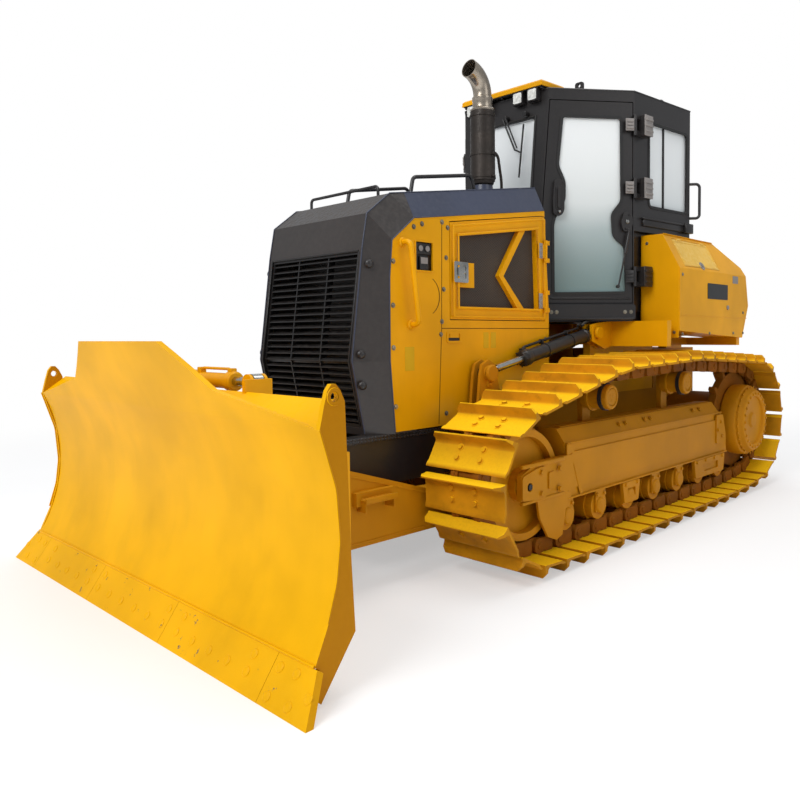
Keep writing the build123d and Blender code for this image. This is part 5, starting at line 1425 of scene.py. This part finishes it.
    def build(self, sizes):
        pair(self.door_seals, "door_seals", "cab_door_%", "rubber")
        pair(self.door_fittings, "door_handles", "cab_door_%", "black")
        pair(self.keyholes, "door_locks", "cab_door_%", "chrome")
        pair(lambda: self.hinge_set(CAB_HINGES[1:], True), "door_leaves", "cab_door_%", "alloy")
        pair(lambda: self.hinge_set(CAB_HINGES[:1], True), "door_low_leaves", "cab_door_%", "black")
        pair(lambda: self.hinge_set(CAB_HINGES[1:], False), "hinge_plates", "chassis", "alloy")
        pair(lambda: self.hinge_set(CAB_HINGES[:1], False), "low_hinge_plates", "chassis", "black")
        pair(self.side_seals, "side_window_seals", "chassis", "rubber")
        pair(self.sill, "door_sills", "chassis", "black")
        pair(self.sill_bolts, "sill_bolts", "chassis", "zinc")
        pair(self.ledge, "cab_ledges", "chassis", "black")
        fit("wipers", self.wipers(), "chassis", "deep")
        fit("front_and_rear_seals", self.front_seals(), "chassis", "rubber")
        fit("roof_fittings", self.roof_fittings(), "chassis", "black")


class BULLDOZER_OT_lights(PieceOperator):
    """Adds lenses, guards and the visor's dark underside"""

    bl_idname = "bulldozer.lights"
    bl_label = "Lamps and visor"

    def build(self, sizes):
        lenses = []
        rims = []
        for x in (-0.292, -0.16, 0.16, 0.292):
            loop = round_box(x - 0.037, 3.018, x + 0.037, 3.092, 0.012)
            lenses.append(plate(loop, "XZ", 0.104, 0.01, 0.003))
            rims.append(plate(offset(loop, 0.008), "XZ", 0.106, 0.008, 0.002, [loop]))
            rims += [block((x - 0.038, 0.149, z), (x + 0.038, 0.158, z + 0.006), 0.001)
                for z in (3.024, 3.04, 3.056, 3.072)]
        for x in (-0.56, 0.56):
            loop = round_box(x - 0.04, 2.97, x + 0.04, 3.04, 0.01)
            lenses.append(plate(loop, "XZ", 1.668, 0.008, 0.002))
        fit("lamp_lenses", join(*lenses), "chassis", "lens")
        fit("lamp_rims", join(*rims), "chassis", "black")
        under = plate([(-0.372, 0.112), (0.372, 0.112), (0.394, 0.362), (-0.394, 0.362)], "XY", 3.098,
            0.008, 0.002)
        ribs = [block((x - 0.006, 0.12, 3.086), (x + 0.006, 0.36, 3.102), 0.002)
            for x in (-0.36, 0.0, 0.36)]
        fit("visor_underside", join(under, *ribs), "chassis", "deep")
        lip = pipe([(-0.382, 0.106, 3.108), (0.382, 0.106, 3.108)], 0.005, 0.01)
        fit("visor_lip", join(lip), "chassis", "body")
        guards = [block((x - 0.06, 1.6, 3.03), (x + 0.06, 1.68, 3.052), 0.006) for x in (-0.56, 0.56)]
        fit("rear_lamp_guards", join(*guards), "chassis", "body")


class BULLDOZER_OT_boxes(PieceOperator):
    """Adds lid rims, locks, creases, blank plates and walkway strips to the fender boxes"""

    bl_idname = "bulldozer.boxes"
    bl_label = "Fender boxes"

    def box_lines(self):
        x = BOX_FACE
        crease = plate([(0.82, 1.462), (2.035, 1.452), (2.035, 1.458), (0.82, 1.468)], "YZ", x - 0.0005,
            0.003, 0.001)
        strip = block((0.962, 0.796, 2.0615), (0.972, 1.636, 2.0665), 0.002)
        front = plate([(0.8, 2.056), (0.968, 2.056), (1.094, 1.812), (1.094, 1.3), (0.8, 1.3)], "XZ",
            0.787, 0.006, 0.002)
        return join(crease, strip, front)

    def badge(self):
        return plate(round_box(1.262, 1.596, 1.64, 1.716, 0.01), "YZ", BOX_FACE, 0.003, 0.001)

    def small_plate(self):
        return join(plate(round_box(1.74, 1.735, 1.85, 1.795, 0.006), "YZ", BOX_FACE, 0.002, 0.0006),
            drum("X", (1.104, 1.64, 1.536), 0.018, 0.01, 24, 0.002))

    def box_bolts(self):
        spots = [(0.835, 1.33), (0.835, 1.76), (1.3, 1.33), (1.76, 1.33), (1.96, 1.5), (1.96, 1.33)]
        heads = [stud((BOX_FACE, y, z), OUTWARDS) for y, z in spots]
        heads += [stud((x, 0.787, z), FORWARDS) for x, z in ((0.84, 1.34), (1.06, 1.34), (0.84, 2.000))]
        return spread(bolt(look().bolt_size * 0.85), heads)

    def walkway(self):
        top = block((0.8, 0.83, 2.062), (0.945, 1.6, 2.0655), 0.001)
        studs = spread(button(0.006), [Matrix.Translation((0.815 + 0.0285 * i, 0.85 + 0.0365 * k, 2.0655))
            for i in range(5) for k in range(21)])
        return join(top, studs)

    def lock(self):
        """A small latch at the lid's lower edge, lying in the slope."""
        dx, dz = LID_RUN
        run = math.hypot(dx, dz)
        normal = (-dz / run, 0, dx / run)
        spot = (LID_TOP[0] + dx * 0.86, 1.2, LID_TOP[1] + dz * 0.86)
        cup = turned("Z", (0, 0, 0), [(-0.002, 0.0), (-0.002, 0.034), (0.004, 0.034), (0.006, 0.03),
            (0.003, 0.024), (0.003, 0.0)], 28)
        pull = block((-0.016, -0.006, 0.002), (0.016, 0.006, 0.01), 0.002)
        return moved(join(cup, pull), stud(spot, normal))

    def rim(self):
        dx, dz = LID_RUN
        run = math.hypot(dx, dz)
        ux, uz = dx / run, dz / run
        place = Matrix(((ux, 0, -uz, LID_TOP[0]), (0, 1, 0, 0), (uz, 0, ux, LID_TOP[1]), (0, 0, 0, 1)))
        outline = [(0.042, 0.912), (0.042, 1.488), (0.258, 1.488), (0.258, 0.912)]
        return moved(plate(outline, "XY", -0.001, 0.004, 0.001, [offset(outline, -0.012)]), place)

    def build(self, sizes):
        pair(self.box_lines, "box_lines", "chassis", "body")
        pair(self.badge, "blank_badges", "chassis", "deep")
        pair(self.small_plate, "blank_plates", "chassis", "alloy")
        pair(self.box_bolts, "box_bolts", "chassis", "zinc")
        pair(self.walkway, "box_treads", "chassis", "lid")
        pair(self.lock, "lid_locks", "box_lid_%", "alloy")
        pair(self.rim, "lid_rims", "box_lid_%", "lid")


class BULLDOZER_OT_blade(PieceOperator):
    """Adds plough bolts, seams and weld lines to the blade"""

    bl_idname = "bulldozer.blade"
    bl_label = "Blade fittings"

    def edge_spot(self, x, z, proud=0.0):
        y = EDGE_TIP[0] + (EDGE_TOP[0] - EDGE_TIP[0]) * z / EDGE_TOP[1]
        size = math.dist(EDGE_TIP, EDGE_TOP)
        normal = (0, -EDGE_TOP[1] / size, (EDGE_TOP[0] - EDGE_TIP[0]) / size)
        return stud(Vector((x, y, z)) + Vector(normal) * proud, normal)

    def build(self, sizes):
        places = []
        for side in BOTH:
            places += [self.edge_spot(side * x, z) for x, z in ((1.322, 0.122), (1.222, 0.118),
                (1.352, 0.034), (1.222, 0.03), (1.432, 0.078))]
            places += [self.edge_spot(side * x, 0.062) for x in EDGE_BOLTS]
            places += [self.edge_spot(side * x, 0.118) for x in (0.35, 0.49, 1.05)]
        head = turned("Z", (0, 0, 0), [(-0.002, 0.0), (-0.002, 0.021), (0.0015, 0.02), (0.003, 0.017),
            (0.0015, 0.014), (0.0012, 0.0)], 20)
        fit("plough_bolts", spread(head, places), "blade", "edge")
        weld = pipe([(-1.395, -2.665, 0.16), (1.395, -2.665, 0.16)], 0.006, 0.01)
        lines = [pipe([(side * 1.3965, -2.6045, 0.3), (side * 1.3965, -2.5615, 0.44),
            (side * 1.3965, -2.5435, 0.585), (side * 1.3965, -2.5575, 0.78),
            (side * 1.3965, -2.6275, 1.003)], 0.004, 0.02) for side in BOTH]
        ring = turned("X", (0, -2.56, 1.117), [(1.3965, 0.018), (1.3965, 0.034), (1.4005, 0.032),
            (1.4005, 0.018)], 28)
        fit("blade_welds", join(weld, *lines, doubled(ring)), "blade", "blade")
        nuts = [stud((side * x, -2.556, 0.1), (0, 1, -0.4)) for side in BOTH
            for x in (*EDGE_BOLTS, 1.222, 1.322)]
        fit("edge_nuts", spread(bolt(0.016), nuts), "blade", "frame")
        seams = [block((x - 0.0015, -2.4955, 0.21), (x + 0.0015, -2.4935, 0.98), 0) for x in (-0.8, 0.8)]
        bar = pipe([(-1.37, -2.494, 0.205), (1.37, -2.494, 0.205)], 0.006, 0.01)
        fit("rear_welds", join(*seams, bar), "blade", "blade")


class BULLDOZER_OT_rear(PieceOperator):
    """Adds the tank's cap, seams and lamps, the fan cover and the tow pin"""

    bl_idname = "bulldozer.rear"
    bl_label = "Rear fittings"

    def build(self, sizes):
        cap = turned("Z", (-0.42, 1.9, 1.99), [(-0.002, 0.0), (-0.002, 0.075), (0.012, 0.075),
            (0.014, 0.062), (0.04, 0.06), (0.048, 0.05), (0.048, 0.0)], 40)
        grips = [stud((-0.42 + 0.06 * math.cos(a), 1.9 + 0.06 * math.sin(a), 2.016),
            (math.cos(a), math.sin(a), 0)) for a in (math.tau * k / 10 for k in range(10))]
        bar = block((-0.004, -0.012, -0.002), (0.004, 0.012, 0.004), 0.001)
        fit("tank_cap", join(cap, spread(bar, grips)), "chassis", "black")
        outline = round_box(-0.56, 1.38, 0.56, 1.9, 0.05)
        door = plate(outline, "XZ", 2.26, 0.01, 0.004)
        press = plate(offset(outline, -0.05), "XZ", 2.268, 0.006, 0.003, [offset(outline, -0.066)])
        strip = [block((side * 0.36 - 0.03, 2.262, 1.3), (side * 0.36 + 0.03, 2.272, 1.392), 0.003)
            for side in BOTH]
        fit("tank_door", join(door, press, *strip), "chassis", "body")
        heads = [stud((x, 2.27, z), BACKWARDS) for x in (-0.53, 0.0, 0.53) for z in (1.4, 1.88)]
        heads += [stud((side * 0.7, y, z), (side, 0, 0)) for side in BOTH for y in (1.76, 2.15)
            for z in (1.36, 1.93)]
        fit("tank_bolts", spread(bolt(0.012), heads), "chassis", "zinc")
        lamps = [block((side * REAR_LAMP_X - 0.035, 2.252, 1.7), (side * REAR_LAMP_X + 0.035, 2.276, 1.8),
            0.008) for side in BOTH]
        fit("rear_lamps", join(*lamps), "chassis", "red")
        rims = [plate(round_box(side * REAR_LAMP_X - 0.045, 1.69, side * REAR_LAMP_X + 0.045, 1.81, 0.01),
            "XZ", 2.258, 0.01, 0.003, [round_box(side * REAR_LAMP_X - 0.036, 1.699, side * REAR_LAMP_X
            + 0.036, 1.801, 0.008)]) for side in BOTH]
        fit("rear_lamp_rims", join(*rims), "chassis", "black")
        pin = join(drum("Z", (*TOW_PIN, 0.6), 0.0245, 0.25, 24, 0.003), turned("Z", (*TOW_PIN, 0.65),
            [(0.0, 0.0), (0.0, 0.046), (0.014, 0.046), (0.02, 0.04), (0.02, 0.0)], 28),
            bead([(0.036 * math.cos(a), TOW_PIN[1] + 0.006, 0.7 + 0.036 * math.sin(a))
            for a in (math.tau * k / 20 for k in range(20))], 0.006))
        fit("tow_pin", pin, "chassis", "steel")
        cover = block((-0.42, 2.44, 0.86), (0.42, 2.452, 1.18), 0.004)
        heads = spread(bolt(0.013), [stud((x, 2.452, z), BACKWARDS) for x in (-0.39, -0.2, 0.0, 0.2, 0.39)
            for z in (0.885, 1.155)])
        sides = spread(bolt(0.013), [stud((x, 2.5, z), BACKWARDS) for x in (-0.2, 0.2)
            for z in (0.52, 0.64, 0.76, 0.88, 0.965)])
        fit("rear_cover", join(cover, heads, sides), "chassis", "frame")
        fit("tank_straps", join(*[block((side * 0.36 - 0.022, 1.7, 1.99),
            (side * 0.36 + 0.022, 2.2, 1.996), 0.002) for side in BOTH]), "chassis", "black")


class BULLDOZER_OT_interior(PieceOperator):
    """Adds the cushions, the levers and the dash inside the cab"""

    bl_idname = "bulldozer.interior"
    bl_label = "Cab interior"

    def cushion(self, low, high, crown, axis):
        """A closed pad that swells along one axis and pulls in between its corners."""
        pad = block(low, high, 0)
        with editing(pad):
            bpy.ops.mesh.subdivide(number_cuts=7)
        centre = [(a + b) / 2 for a, b in zip(low, high)]
        half = [(b - a) / 2 for a, b in zip(low, high)]
        flat = [k for k in range(3) if k != axis]
        for vertex in pad.data.vertices:
            away = [(vertex.co[k] - centre[k]) / half[k] for k in range(3)]
            swell = (1 - away[flat[0]] ** 4) * (1 - away[flat[1]] ** 4)
            vertex.co[axis] += crown * swell * (1 if away[axis] > 0.5 else 0)
            for k in flat:
                vertex.co[k] -= away[k] * half[k] * 0.05 * abs(away[axis])
        soften(pad, 0.012, 3, 50)
        return pad

    def build(self, sizes):
        base = self.cushion((-0.24, 0.73, 1.8), (0.24, 1.18, 1.9), 0.028, 2)
        back = self.cushion((-0.23, 1.09, 1.94), (0.23, 1.17, 2.33), -0.02, 1)
        head = self.cushion((-0.13, 1.11, 2.37), (0.13, 1.18, 2.5), -0.012, 1)
        arms = [self.cushion((side * ARM_REST_X - 0.038, 0.77, 2.08),
            (side * ARM_REST_X + 0.038, 1.11, 2.11), 0.008, 2) for side in BOTH]
        pads = fit("cushions", join(base, back, head, *arms), "chassis", "cloth")
        stand = turned("Z", (0, 0.95, 0), [(1.5, 0.0), (1.5, 0.15), (1.53, 0.15), (1.545, 0.12),
            (1.58, 0.14), (1.61, 0.116), (1.645, 0.14), (1.68, 0.116), (1.715, 0.14), (1.75, 0.118),
            (1.78, 0.15), (1.8, 0.15), (1.8, 0.0)], 36)
        pan = block((-0.235, 0.74, 1.78), (0.235, 1.19, 1.806), 0.008)
        shell = block((-0.225, 1.16, 1.88), (0.225, 1.205, 2.34), 0.018)
        post = block((-0.11, 1.165, 2.32), (0.11, 1.195, 2.5), 0.012)
        links = [block((side * ARM_REST_X - 0.02, 1.09, 1.86), (side * ARM_REST_X + 0.02, 1.17, 2.085),
            0.01) for side in BOTH]
        rests = [block((side * ARM_REST_X - 0.034, 0.775, 2.052),
            (side * ARM_REST_X + 0.034, 1.15, 2.084), 0.01) for side in BOTH]
        chair = join(stand, pan, shell, post, *links, *rests)
        fit("chair_frame", chair, "chassis", "plastic")
        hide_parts("operator_seat")
        screen = block((-0.09, 0.296, 2.08), (0.09, 0.32, 2.16), 0.006)
        dials = [turned("Z", (x, 0.39, 2.068), [(0.0, 0.0), (0.0, 0.034), (0.008, 0.034), (0.008, 0.028),
            (0.004, 0.0)], 24) for x in (-0.16, 0.16)]
        grips = [turned("Z", (x, 0.7, 0), [(2.05, 0.0), (2.05, 0.018), (2.09, 0.024), (2.14, 0.03),
            (2.166, 0.022), (2.172, 0.0)], 24) for x in LEVERS_X]
        boots = [turned("Z", (x, 0.7, 0), [(1.99, 0.0), (1.99, 0.06), (2.000, 0.062), (2.008, 0.048),
            (2.016, 0.05), (2.024, 0.036), (2.032, 0.038), (2.045, 0.016), (2.045, 0.0)], 24)
            for x in LEVERS_X]
        pedals = [block((x - 0.04, 0.43, 1.56), (x + 0.04, 0.45, 1.66), 0.006) for x in (-0.14, 0.14)]
        fit("controls", join(screen, *dials, *grips, *boots, *pedals), "chassis", "plastic")
        liner = plate([(0.385, 0.2), (0.77, 0.665), (0.84, 1.39), (0.6, 1.575), (-0.6, 1.575),
            (-0.84, 1.39), (-0.77, 0.665), (-0.385, 0.2)], "XY", 3.008, 0.012, 0.003)
        fit("liner", liner, "chassis", "alloy")


CLASSES = [BulldozerLook, BULLDOZER_OT_stage, BULLDOZER_OT_paint, BULLDOZER_OT_tracks,
    BULLDOZER_OT_undercarriage, BULLDOZER_OT_cylinders, BULLDOZER_OT_cowl, BULLDOZER_OT_panels,
    BULLDOZER_OT_exhaust, BULLDOZER_OT_cab, BULLDOZER_OT_lights, BULLDOZER_OT_boxes, BULLDOZER_OT_blade,
    BULLDOZER_OT_rear, BULLDOZER_OT_interior]


class BULLDOZER_PT_panel(bpy.types.Panel):
    """Lists the sizes, the colours and the pieces"""

    bl_idname = "BULLDOZER_PT_panel"
    bl_label = "Crawler bulldozer"
    bl_space_type = "VIEW_3D"
    bl_region_type = "UI"
    bl_category = "Bulldozer"

    def draw(self, context):
        for name in BulldozerLook.__annotations__:
            self.layout.prop(context.scene.bulldozer_look, name)
        for kind in CLASSES[1:]:
            self.layout.operator(kind.bl_idname)


def register():
    for kind in (*CLASSES, BULLDOZER_PT_panel):
        bpy.utils.register_class(kind)
    bpy.types.Scene.bulldozer_look = bpy.props.PointerProperty(type=BulldozerLook)


def unregister():
    del bpy.types.Scene.bulldozer_look
    for kind in reversed((*CLASSES, BULLDOZER_PT_panel)):
        bpy.utils.unregister_class(kind)


def main():
    register()
    for kind in CLASSES[1:]:
        group, name = kind.bl_idname.split(".")
        getattr(getattr(bpy.ops, group), name)()


if __name__ == "__main__":
    main()
